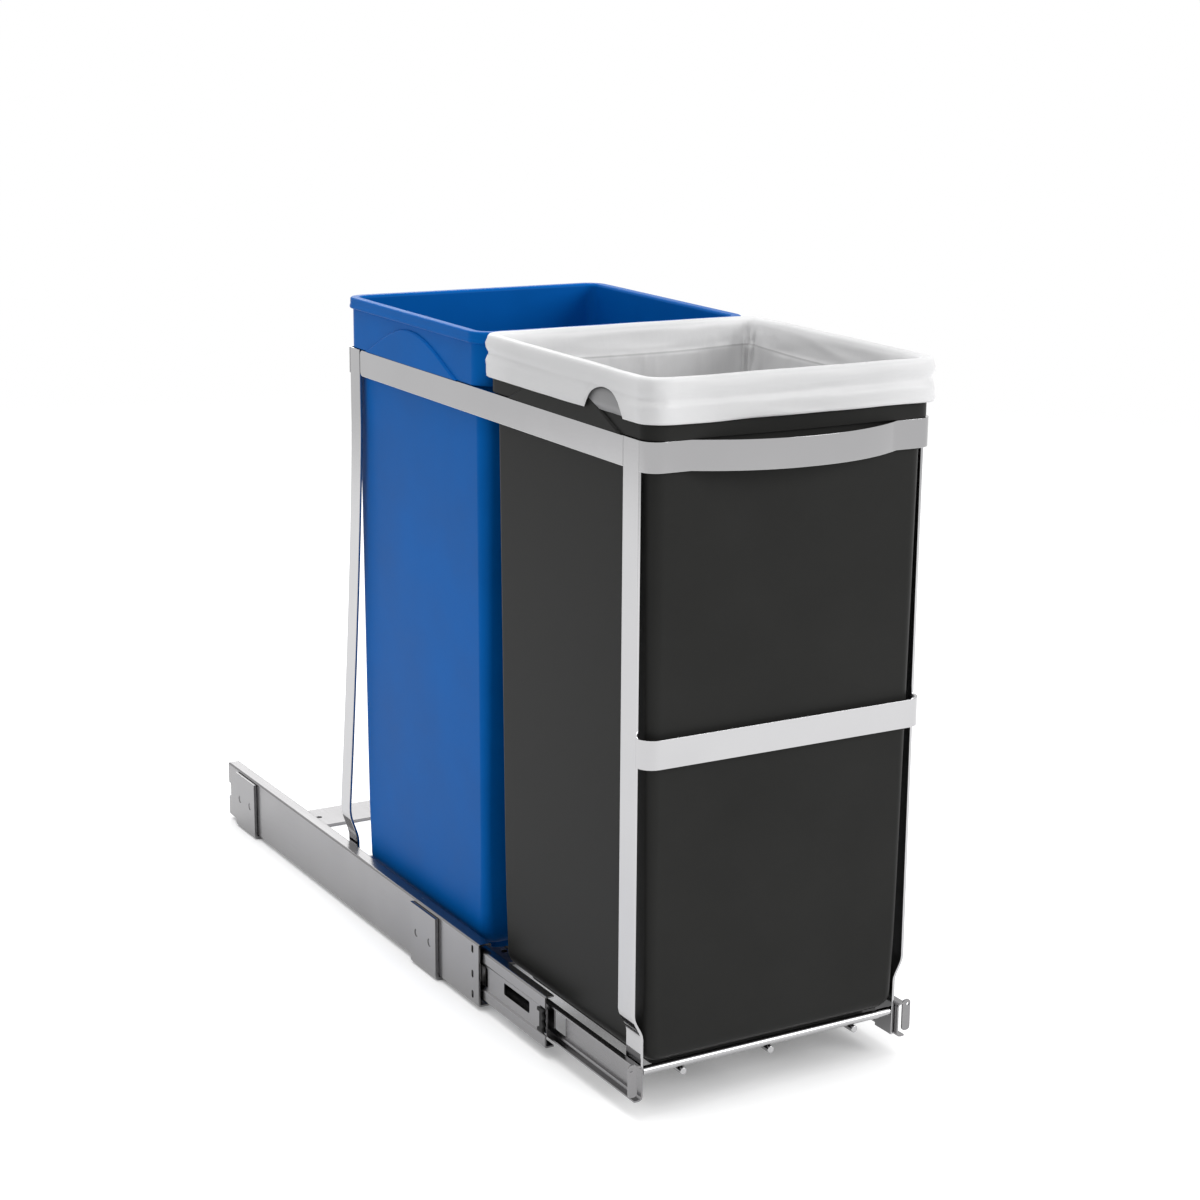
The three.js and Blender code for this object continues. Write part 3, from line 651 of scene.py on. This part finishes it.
def make_bin(node, name, material, slot, body, set_back):
    """One bin; its foot stands back from the middle of its rim by the set back."""
    outline, bottom, top = bin_outline(node, 6, 12)
    sizes = bpy.context.scene.bin_sizes
    keep = sizes.corner - FOOT_CORNER_LESS
    foot_top = bottom + sizes.foot
    rings = []
    for inset, z in bin_profile(bottom, top):
        under_skirt = inset > sizes.overhang + sizes.skirt
        share = min((top - z) / (top - foot_top), 1.0) if under_skirt else 0.0
        radius = keep if z < foot_top + 0.0001 else outline.corner(inset)
        back = Vector((0, set_back * share, 0))
        rings.append([point + back for point in outline.ring(inset, z, radius)])
    points, faces = skin(rings)
    mesh = bpy.data.meshes.new(name)
    mesh.from_pydata(points, [], faces)
    outward(mesh)
    piece = place(name, mesh, material, slot, body, node)
    for side in (-1, 1):
        join_arch(piece, outline, side, top - sizes.drop)
    piece.data.name = name
    piece.data.materials.clear()
    piece.data.materials.append(material)
    piece.data.shade_smooth()
    piece.data.set_sharp_from_angle(angle=SHARP_ANGLE)
    even_shading(piece)
    return piece


# ---------------------------------------------------------------- liner

BELOW_HEM = "below_hem"  # mesh attribute: distance of a point under the hem inside the bin
HEM_LINE = 0.0011  # width of the dark line under the hem
HEM_BAND = 0.0175  # height of the doubled film over the hem
HEM_SHARP, BAND_SHARP = 1500.0, 500.0  # how fast the film's colour turns there, per metre
HEM_DEPTH, HEM_DRAWN_UP = 0.0182, 0.0022  # hem under the rim, and its rise at the corners
FILM_THICK = 0.00012
FILM_CLEAR = 0.0006  # gap between the film and the bin
FILM_CREST = 0.0014  # how far the film stands over the rim
FINE_ROW, COARSE_ROW, FINE_DEPTH = 0.0021, 0.009, 0.15  # rows down the inside are fine to here
FOOT_DEPTH = 0.4  # from here down the film follows the tighter corners of the bin's foot
RUN_SCALE = 30.0  # noise units for each metre round the rim
TAPE_HIGH, TAPE_THICK = 0.0165, 0.0003


def ridge(x, y, seed):
    """Soft ridged noise between 0 and 1."""
    value = noise.noise(Vector((x, y, seed)))
    return 1 - min(abs(value) * 2.2, 1.0)


def smooth(value):
    value = min(max(value, 0.0), 1.0)
    return value * value * (3 - 2 * value)


def cuff_inset(above_hem):
    """Inset of the cuff at a height above its hem: the film draws in under the bead of the rim."""
    under_bead = math.exp(-(((above_hem - 0.0150) / 0.0028) ** 2))
    return -0.0006 + 0.0015 * under_bead


def liner_rows(cuff_rows, bottom, top):
    """Rows from the hem outside, over the rim and down to the floor of the bin.

    Each row is (inset, height, share of the cuff, depth below the rim).
    """
    s = bpy.context.scene.bin_sizes
    inner_top = s.inset + s.wall + FILM_CLEAR
    rows = [(0.0, None, i / cuff_rows, 0.0) for i in range(cuff_rows)]
    crest = top + FILM_CREST
    rows += [(-FILM_CLEAR - 0.0001, top - 0.0014, 1, 0), (-FILM_CLEAR + 0.0002, top, 1, 0)]
    rows += [(0.0006, crest - 0.0003, 1, 0), (0.0018, crest, 1, 0), (0.0042, crest, 1, 0)]
    rows += [(0.0066, crest - 0.0004, 1, 0), (inner_top - 0.0006, top - 0.0005, 1, 0.001)]
    floor = bottom + s.wall + FILM_CLEAR
    radius = s.foot - s.wall
    wall_foot = floor + radius
    depth = 0.003
    while top - depth > wall_foot + 0.006:
        t = depth / (top - wall_foot)
        rows.append((inner_top + s.taper * t, top - depth, 1, depth))
        depth += FINE_ROW if depth < FINE_DEPTH else COARSE_ROW
    foot = inner_top + s.taper
    for inset, z in fillet((foot, wall_foot), (foot + radius, floor), "z_first", 4):
        rows.append((inset, z, 1, top - z))
    for i in range(1, 5):
        rows.append((foot + radius + 0.017 * i, floor, 1, top - floor))
    return rows


def inner_hem(around):
    """Depth of the hem inside the bin, which is drawn up at the corners."""
    return HEM_DEPTH - HEM_DRAWN_UP * math.exp(-((around / 0.040) ** 2))


def loose_film(run, depth, around, deepest):
    """How far the film stands off the wall at a place round the bin and down from its rim."""
    deep = smooth((depth - 0.012) / 0.085)
    hem = smooth((depth - inner_hem(around)) / 0.0012)
    sway = 0.010 * math.sin(depth * 26.0 + run)
    tilt = run + sway + depth * 1.6
    billow = ridge(tilt * 0.5, depth * 3.0, 2.4)
    pleat = ridge(tilt * 2.1, depth * 4.5, 7.7)
    crease = ridge(tilt * 6.4, depth * 16.0, 4.4)
    pucker = math.exp(-((around / 0.026) ** 2)) * smooth(depth / 0.016)
    gathered = pucker * ridge(run * 13.0 + depth * 20.0, depth * 9.0, 3.1)
    return (
        deep * deepest * billow * billow
        + hem * (0.0009 + 0.0022 * pleat * smooth((depth - 0.02) / 0.05))
        + 0.0007 * ridge(run * 0.5, depth * 90.0, 8.8) * smooth(depth / 0.006) * (1 - hem)
        + 0.0006 * crease * hem
        + 0.0026 * gathered
    )


def rim_measures(outline, rim, middle):
    """For each point of the rim, the way round to it and its distance from the nearest corner."""
    travelled, corner_gap = [0.0], []
    for i in range(1, len(rim)):
        travelled.append(travelled[-1] + (rim[i] - rim[i - 1]).length)
    for at in rim:
        along_x = outline.half_x - abs(at.x - middle.x)
        along_y = outline.back - middle.y - abs(at.y - middle.y)
        corner_gap.append(max(math.hypot(along_x, along_y) - 0.006, 0.0))
    return travelled, corner_gap


def make_liner():
    """The film, from its hem outside over the rim and down to the floor of the bin."""
    scene = bpy.context.scene
    sizes, liner = scene.bin_sizes, scene.liner_sizes
    outline, bottom, top = bin_outline("black_bin", 64, 14)
    rows = liner_rows(16, bottom, top)
    rim = outline.ring(0.0, top)
    count = len(rim)
    middle = Vector((outline.middle_x, (outline.front + outline.back) / 2, 0))
    nick_y = outline.front + liner.nick_place
    travelled, corner_gap = rim_measures(outline, rim, middle)
    low_corner = sizes.corner - FOOT_CORNER_LESS
    below_hem, rings = [], []
    for inset, z, share, depth in rows:
        radius = low_corner if depth > FOOT_DEPTH else outline.corner(inset)
        level = outline.ring(inset, z or 0.0, radius)
        inner = outline.ring(inset + 0.001, z or 0.0, radius)
        ring = []
        for i in range(count):
            run = travelled[i] * RUN_SCALE
            p = level[i].copy()
            out = (Vector((rim[i].x, rim[i].y, 0)) - middle).normalized()
            if z is None:
                hem = top - liner.cuff + 0.0007 * noise.noise(Vector((run * 0.4, 3.1, 0)))
                along = (p.y - nick_y) / liner.nick_half
                if p.x < 0 and abs(p.x) > outline.half_x - 0.002 and abs(along) < 1:
                    hem += liner.nick_rise * math.sqrt(1 - along * along)
                p.z = hem + (top - 0.0030 - hem) * share
                p += (inner[i] - level[i]) * (1000 * cuff_inset(p.z - top + liner.cuff))
            if depth == 0.0:
                flat_top = 1.0 if z is None else 0.35
                tucked = math.exp(-((corner_gap[i] / 0.014) ** 2)) * ridge(run * 3.1, p.z * 60, 6.6)
                fold = 0.0009 * ridge(run * 0.30, p.z * 120, 1.7)
                fold += 0.0003 * ridge(run * 1.0, p.z * 190, 5.2)
                p += out * (fold + 0.0009 * tucked) * flat_top
                p.z += 0.0004 * noise.noise(Vector((run * 0.8, 9.0, 0)))
            else:
                p -= out * loose_film(run, depth, corner_gap[i], liner.fold_depth)
            ring.append(p)
            below_hem.append(depth - inner_hem(corner_gap[i]))
        rings.append(ring)
    points, faces = skin(rings, close_first=False, close_last=True)
    mesh = bpy.data.meshes.new("liner_film")
    mesh.from_pydata(points, [], faces)
    mesh.attributes.new(BELOW_HEM, "FLOAT", "POINT").data.foreach_set("value", below_hem)
    outward(mesh)
    mesh.shade_smooth()
    piece = place("liner_film", mesh, film_material(), "white_film", "black_bin_unit", "bin_liner")
    thick = piece.modifiers.new("film", "SOLIDIFY")
    thick.thickness = FILM_THICK
    thick.offset = 0
    return piece


def creased_film():
    """Drawn-out polyethylene: fine crinkles and creases, greyer where one layer hangs alone, with painted
    light that makes the inside lighter than the outside and painted shade that darkens the single layer
    deeper in the bin.
    """
    tree, given, out = group(
        "creased_film",
        [
            ("Colour", "NodeSocketColor", (0.8, 0.8, 0.8, 1)),
            ("Inside colour with painted light", "NodeSocketColor", (0.85, 0.85, 0.85, 1)),
            ("Single colour", "NodeSocketColor", (0.5, 0.5, 0.5, 1)),
            ("Base roughness", "NodeSocketFloat", 0.35),
        ],
        [
            ("Colour", "NodeSocketColor"),
            ("Roughness", "NodeSocketFloat"),
            ("Height", "NodeSocketFloat"),
        ],
    )
    where = tree.nodes.new("ShaderNodeTexCoord").outputs["Object"]
    drawn = stretched(tree, where)
    drawn.inputs[1].default_value = (70, 70, 34)
    streak = noise_node(tree, drawn.outputs["Vector"], 1.0, 5.0, 0.6)
    crease = noise_node(tree, where, 38.0, 4.0)
    crease.noise_type = "RIDGED_MULTIFRACTAL"
    height = math_node(tree, "MULTIPLY", crease.outputs["Fac"], 0.35)
    height = math_node(tree, "ADD", height, streak.outputs["Fac"])
    tree.links.new(height, out.inputs["Height"])
    rough = math_node(tree, "MULTIPLY", streak.outputs["Fac"], 0.16)
    rough = math_node(tree, "ADD", rough, given.outputs["Base roughness"], clamp=True)
    tree.links.new(rough, out.inputs["Roughness"])
    hem = tree.nodes.new("ShaderNodeAttribute")
    hem.attribute_name = BELOW_HEM
    below = hem.outputs["Fac"]
    # dark line along the hem, then one layer that is greyer where the dark wall shows through it, patchy at
    # random, and painted darker with depth as painted shade deeper in the bin
    sharp = math_node(tree, "MULTIPLY", below, HEM_SHARP, clamp=True)
    past = math_node(tree, "SUBTRACT", below, HEM_LINE)
    past = math_node(tree, "MULTIPLY", past, HEM_SHARP, clamp=True)
    line = math_node(tree, "SUBTRACT", sharp, past)
    # painted shade: the single layer is painted darker over the first 11 cm under the hem
    slow = math_node(tree, "MULTIPLY", below, 9.0, clamp=True)
    sheer = noise_node(tree, where, 16.0, 6.0, 1.2)
    patch = math_node(tree, "SUBTRACT", sheer.outputs["Fac"], 0.42)
    patch = math_node(tree, "MULTIPLY", patch, 2.6, clamp=True)
    patch = math_node(tree, "MULTIPLY", patch, sharp)
    single = math_node(tree, "MULTIPLY", sharp, 0.30)
    painted_depth_shade = math_node(tree, "MULTIPLY", slow, 0.40)
    single = math_node(tree, "ADD", single, painted_depth_shade)
    patch = math_node(tree, "MULTIPLY", patch, 0.38)
    single = math_node(tree, "ADD", single, patch)
    dark = math_node(tree, "MULTIPLY", line, 0.7)
    single = math_node(tree, "ADD", single, dark, clamp=True)
    # painted light: from just under the rim down, the inside of the film takes a lighter colour than the
    # outside
    painted_light_inside = math_node(tree, "ADD", below, HEM_BAND)
    painted_light_inside = math_node(tree, "MULTIPLY", painted_light_inside, BAND_SHARP, clamp=True)
    doubled = blended(tree, painted_light_inside, given.outputs["Colour"], given.outputs["Inside colour with painted light"])
    film = blended(tree, single, doubled, given.outputs["Single colour"])
    tree.links.new(film, out.inputs["Colour"])
    return tree


def film_material():
    """Thin polyethylene with a soft sheen; one layer hangs alone under the hem inside the bin, with painted
    shade that deepens down the bin.
    """
    colours = bpy.context.scene.cabinet_colours
    tree = shared("creased_film", creased_film)
    settings = {
        # painted light: the inside of the liner is painted lighter than its outside, as light coming through
        # the film
        "Inside colour with painted light": (*(min(1.16 * c, 0.9) for c in colours.film), 1),
        "Single colour": (*colours.film_single, 1),
        "Base roughness": 0.30,
    }
    plain = {"Specular IOR Level": 0.30}
    return finish_from_group("liner_polyethylene", tree, settings, colours.film, (0.22, 0.0011), plain)


def make_tape():
    """Drawstring tape that lies inside the hem and shows in the half-moon opening."""
    outline, _, top = bin_outline("black_bin", 60, 8)
    liner = bpy.context.scene.liner_sizes
    low = top - liner.cuff + 0.001
    high = low + TAPE_HIGH
    rings = []
    for inset, z in ((0.0012, low), (0.0010, low + 0.005), (0.0013, low + 0.010), (0.0021, high)):
        level = outline.ring(inset, z)
        ring = []
        for i, p in enumerate(level):
            run = i / len(level) * 60
            p.z += 0.0005 * noise.noise(Vector((run, 2.0, 0)))
            p.x += 0.00012 * noise.noise(Vector((run * 2.0, z * 200, 4.0)))
            ring.append(p)
        rings.append(ring)
    points, faces = skin(rings, False, False)
    mesh = bpy.data.meshes.new("drawstring_tape")
    mesh.from_pydata(points, [], faces)
    outward(mesh)
    mesh.shade_smooth()
    colour = bpy.context.scene.cabinet_colours.tape
    material = plastic("grey_drawstring", colour, 0.42, 160.0, 0.12, (0.3, 0.0006), 0.5)
    piece = place("drawstring_tape", mesh, material, "grey_film", "black_bin_unit", "liner_drawstring")
    thick = piece.modifiers.new("tape", "SOLIDIFY")
    thick.thickness = TAPE_THICK
    thick.offset = -1
    return piece


# ---------------------------------------------------------------- operators

PHOTO_PIXELS = 1200
FOCAL_PIXELS = 2495.085
CAMERA_SHIFT = -0.1
CAMERA_TURN = (32.194, 14.02, 1.11)  # yaw, pitch and roll in degrees
CAMERA_PLACE = (-0.843012, -1.589178, 0.709238)
FLOOR_RADIUS = 2.6
FLOOR_DROP = 0.0002  # how far the floor lies under the object
FLOOR_FADE = (1.5, 2.5)  # radii between which the floor melts away
FLOOR_LIFT = 0.66  # glow that brings the open floor up towards white
SHADOW_REACH = 0.06  # how far round the object the glow is weakened
SOFT_LIGHT = 0.54  # strength of the world on the object
LAMPS = (  # name, place, aimed at, width of the disc, watts
    ("key_light", (1.9, -2.8, 1.5), (0.5, -0.9, 0.0), 1.6, 46.0),
    ("top_light", (-0.3, 0.2, 2.9), (0.0, 0.0, 0.2), 1.8, 30.0),
    ("side_light", (-2.6, 0.4, 1.5), (0.0, 0.0, 0.25), 1.8, 3.0),
    ("back_light", (0.9, 2.9, 1.5), (0.0, 0.2, 0.2), 1.5, 10.0),
)


class MakeCamera(bpy.types.Operator):
    """Sets the camera where the photograph was taken from"""

    bl_idname = "cabinet.make_camera"
    bl_label = "Camera"

    def execute(self, context):
        yaw, pitch, roll = (math.radians(a) for a in CAMERA_TURN)
        forward = Vector((math.sin(yaw) * math.cos(pitch), math.cos(yaw) * math.cos(pitch), -math.sin(pitch)))
        level = Vector((math.cos(yaw), -math.sin(yaw), 0))
        rise = level.cross(forward)
        right = level * math.cos(roll) + rise * math.sin(roll)
        up = rise * math.cos(roll) - level * math.sin(roll)
        data = bpy.data.cameras.new("view_camera")
        data.sensor_width = 36.0
        data.lens = data.sensor_width * FOCAL_PIXELS / PHOTO_PIXELS
        data.shift_x = CAMERA_SHIFT
        data.clip_start, data.clip_end = 0.05, 60.0
        camera = bpy.data.objects.new("view_camera", data)
        x, y, z = CAMERA_PLACE
        camera.matrix_world = Matrix(
            (
                (right.x, up.x, -forward.x, x),
                (right.y, up.y, -forward.y, y),
                (right.z, up.z, -forward.z, z),
                (0, 0, 0, 1),
            )
        )
        context.scene.collection.objects.link(camera)
        context.scene.camera = camera
        return {"FINISHED"}


class MakeStage(bpy.types.Operator):
    """Lays a pale floor and sets soft studio light"""

    bl_idname = "cabinet.make_stage"
    bl_label = "Stage"

    def execute(self, context):
        scene = context.scene
        scene.view_settings.view_transform = "Standard"
        mesh = bpy.data.meshes.new("studio_floor")
        steps = 96
        turns = [2 * math.pi * i / steps for i in range(steps)]
        ring = [(FLOOR_RADIUS * math.cos(a), FLOOR_RADIUS * math.sin(a), -FLOOR_DROP) for a in turns]
        mesh.from_pydata(ring, [], [tuple(range(steps))])
        mesh.materials.append(self.floor_paper(*FLOOR_FADE))
        floor = bpy.data.objects.new("studio_floor", mesh)
        scene.collection.objects.link(floor)
        self.world(scene)
        for settings in LAMPS:
            self.lamp(*settings)
        return {"FINISHED"}

    def background_rays(self, tree):
        """One for rays that see the background straight, mirrored or through glass."""
        path = tree.nodes.new("ShaderNodeLightPath")
        seen = path.outputs["Is Camera Ray"]
        for other in ("Is Glossy Ray", "Is Transmission Ray"):
            seen = math_node(tree, "MAXIMUM", seen, path.outputs[other])
        return seen

    def floor_paper(self, solid, gone):
        """White paper that melts into the background between two radii.

        It is lifted to white for the rays that see the background, and less so close under the
        object, so that the shadow stays.
        """
        material = bpy.data.materials.new("pale_floor")
        material.use_nodes = True
        tree = material.node_tree
        nodes, links = tree.nodes, tree.links
        shader = nodes["Principled BSDF"]
        shader.inputs["Base Color"].default_value = (0.86, 0.86, 0.865, 1)
        shader.inputs["Roughness"].default_value = 0.9
        shader.inputs["Specular IOR Level"].default_value = 0.1
        lift = math_node(tree, "MULTIPLY", self.background_rays(tree), FLOOR_LIFT)
        open_sky = nodes.new("ShaderNodeAmbientOcclusion")
        open_sky.inputs["Distance"].default_value = SHADOW_REACH
        shaded = math_node(tree, "MULTIPLY", lift, open_sky.outputs["AO"])
        glow = nodes.new("ShaderNodeEmission")
        links.new(shaded, glow.inputs["Strength"])
        paper = nodes.new("ShaderNodeAddShader")
        links.new(shader.outputs[0], paper.inputs[0])
        links.new(glow.outputs[0], paper.inputs[1])
        where = nodes.new("ShaderNodeTexCoord")
        away = nodes.new("ShaderNodeVectorMath")
        away.operation = "LENGTH"
        links.new(where.outputs["Object"], away.inputs[0])
        fade = nodes.new("ShaderNodeMapRange")
        fade.interpolation_type = "SMOOTHSTEP"
        fade.inputs["From Min"].default_value = solid
        fade.inputs["From Max"].default_value = gone
        links.new(away.outputs["Value"], fade.inputs["Value"])
        clear = nodes.new("ShaderNodeBsdfTransparent")
        mix = nodes.new("ShaderNodeMixShader")
        links.new(fade.outputs["Result"], mix.inputs["Fac"])
        links.new(paper.outputs[0], mix.inputs[1])
        links.new(clear.outputs[0], mix.inputs[2])
        links.new(mix.outputs[0], nodes["Material Output"].inputs["Surface"])
        return material

    def world(self, scene):
        world = bpy.data.worlds.new("studio")
        scene.world = world
        world.use_nodes = True
        tree = world.node_tree
        nodes, links = tree.nodes, tree.links
        soft = nodes["Background"]
        soft.inputs["Color"].default_value = (1, 1, 1, 1)
        soft.inputs["Strength"].default_value = SOFT_LIGHT
        seen = nodes.new("ShaderNodeBackground")
        seen.inputs["Color"].default_value = (1, 1, 1, 1)
        seen.inputs["Strength"].default_value = 1.0
        mix = nodes.new("ShaderNodeMixShader")
        links.new(self.background_rays(tree), mix.inputs[0])
        links.new(soft.outputs[0], mix.inputs[1])
        links.new(seen.outputs[0], mix.inputs[2])
        links.new(mix.outputs[0], nodes["World Output"].inputs["Surface"])

    def lamp(self, name, at, towards, size, watts):
        data = bpy.data.lights.new(name, "AREA")
        data.shape = "DISK"
        data.size = size
        data.energy = watts
        lamp = bpy.data.objects.new(name, data)
        lamp.location = at
        aim = Vector(towards) - Vector(at)
        lamp.rotation_mode = "QUATERNION"
        lamp.rotation_quaternion = aim.to_track_quat("-Z", "Y")
        bpy.context.scene.collection.objects.link(lamp)


class MakeFrame(bpy.types.Operator):
    """Finishes the chromed bars, rods and wires of the frame"""

    bl_idname = "cabinet.make_frame"
    bl_label = "Chromed frame"

    def execute(self, context):
        chrome = chrome_material()
        for kind in ("post_front", "post_rear", "side_band"):
            for side in ("left", "right"):
                dressed(f"{kind}_{side}", chrome, "chromed_steel", "carriage", 0.00045, 3)
        for node in ("handle_band", "mid_band", "rear_band"):
            bowed = node == "handle_band"
            dressed(node, chrome, "chromed_steel", "carriage", 0.0007 if bowed else 0.00045, 3, bowed)
        rods = ["floor_rod_front", "floor_rod_rear"] + [f"floor_wire_{i}" for i in (1, 2, 3)]
        for node in rods:
            dressed(node, chrome, "chromed_steel", "carriage", 0.0006, 3)
        return {"FINISHED"}


class MakeSlides(bpy.types.Operator):
    """Finishes the three-member slides, their cages and buffers"""

    bl_idname = "cabinet.make_slides"
    bl_label = "Ball slides"

    def execute(self, context):
        zinc = zinc_material()
        rubber = rubber_material()
        caged = metal("ball_cage_steel", CAGE_COLOUR, 0.3, (700, 12, 700), 0.1, 0.15, (0.08, 0.0003))
        for side in ("left", "right"):
            dressed("outer_rail_" + side, zinc, "zinc_steel", "base", 0.0003)
            dressed("middle_rail_" + side, zinc, "zinc_steel", "middle_" + side, 0.00025)
            dressed("inner_rail_" + side, zinc, "zinc_steel", "carriage", 0.00025)
            dressed("front_bumper_" + side, rubber, "black_rubber", "middle_" + side, 0.0003)
            dressed("rear_bumper_" + side, rubber, "black_rubber", "base", 0.0006)
            repaint("outer_cage_" + side, caged)
            repaint("inner_cage_" + side, caged)
        return {"FINISHED"}


class MakeStraps(bpy.types.Operator):
    """Finishes the straps that tie the slides together"""

    bl_idname = "cabinet.make_straps"
    bl_label = "Cross straps"

    def execute(self, context):
        zinc = zinc_material()
        for end in ("front", "rear"):
            dressed("cross_strap_" + end, zinc, "zinc_steel", "base", 0.0004)
        return {"FINISHED"}


class MakeBins(bpy.types.Operator):
    """Moulds the charcoal bin and the blue bin"""

    bl_idname = "cabinet.make_bins"
    bl_label = "Bins"

    def execute(self, context):
        colours = context.scene.cabinet_colours
        charcoal = plastic("charcoal_polypropylene", colours.charcoal, BIN_ROUGHNESS, specular=BIN_SPECULAR)
        blue = plastic("blue_polypropylene", colours.blue, BIN_ROUGHNESS, specular=BIN_SPECULAR)
        upright = context.scene.bin_sizes.taper
        make_bin("black_bin", "charcoal_bin_shell", charcoal, "charcoal_plastic", "black_bin_unit", 0.0)
        make_bin("blue_bin", "blue_bin_shell", blue, "blue_plastic", "blue_bin_unit", upright)
        return {"FINISHED"}


class MakeLiner(bpy.types.Operator):
    """Hangs the film liner over the rim of the front bin, with its drawstring tape"""

    bl_idname = "cabinet.make_liner"
    bl_label = "Liner"

    def execute(self, context):
        make_liner()
        make_tape()
        return {"FINISHED"}


class CabinetPanel(bpy.types.Panel):
    """Lists the makers of the waste cabinet"""

    bl_idname = "VIEW3D_PT_waste_cabinet"
    bl_label = "Waste cabinet"
    bl_space_type = "VIEW_3D"
    bl_region_type = "UI"
    bl_category = "Waste cabinet"

    def draw(self, context):
        layout = self.layout
        for maker in MAKERS:
            layout.operator(maker.bl_idname)
        for group_name in ("bin_sizes", "liner_sizes", "cabinet_colours"):
            settings = getattr(context.scene, group_name)
            box = layout.box()
            for key in settings.bl_rna.properties.keys():
                if key not in ("rna_type", "name"):
                    box.prop(settings, key)


MAKERS = (MakeCamera, MakeStage, MakeFrame, MakeSlides, MakeStraps, MakeBins, MakeLiner)
GROUPS = (("bin_sizes", BinSizes), ("liner_sizes", LinerSizes), ("cabinet_colours", FinishColours))


def register():
    for name, kind in GROUPS:
        bpy.utils.register_class(kind)
        setattr(bpy.types.Scene, name, bpy.props.PointerProperty(type=kind))
    for maker in MAKERS:
        bpy.utils.register_class(maker)
    bpy.utils.register_class(CabinetPanel)


def unregister():
    bpy.utils.unregister_class(CabinetPanel)
    for maker in reversed(MAKERS):
        bpy.utils.unregister_class(maker)
    for name, kind in reversed(GROUPS):
        delattr(bpy.types.Scene, name)
        bpy.utils.unregister_class(kind)


def main():
    register()
    bpy.ops.cabinet.make_camera()
    bpy.ops.cabinet.make_stage()
    bpy.ops.cabinet.make_frame()
    bpy.ops.cabinet.make_slides()
    bpy.ops.cabinet.make_straps()
    bpy.ops.cabinet.make_bins()
    bpy.ops.cabinet.make_liner()


if __name__ == "__main__":
    main()
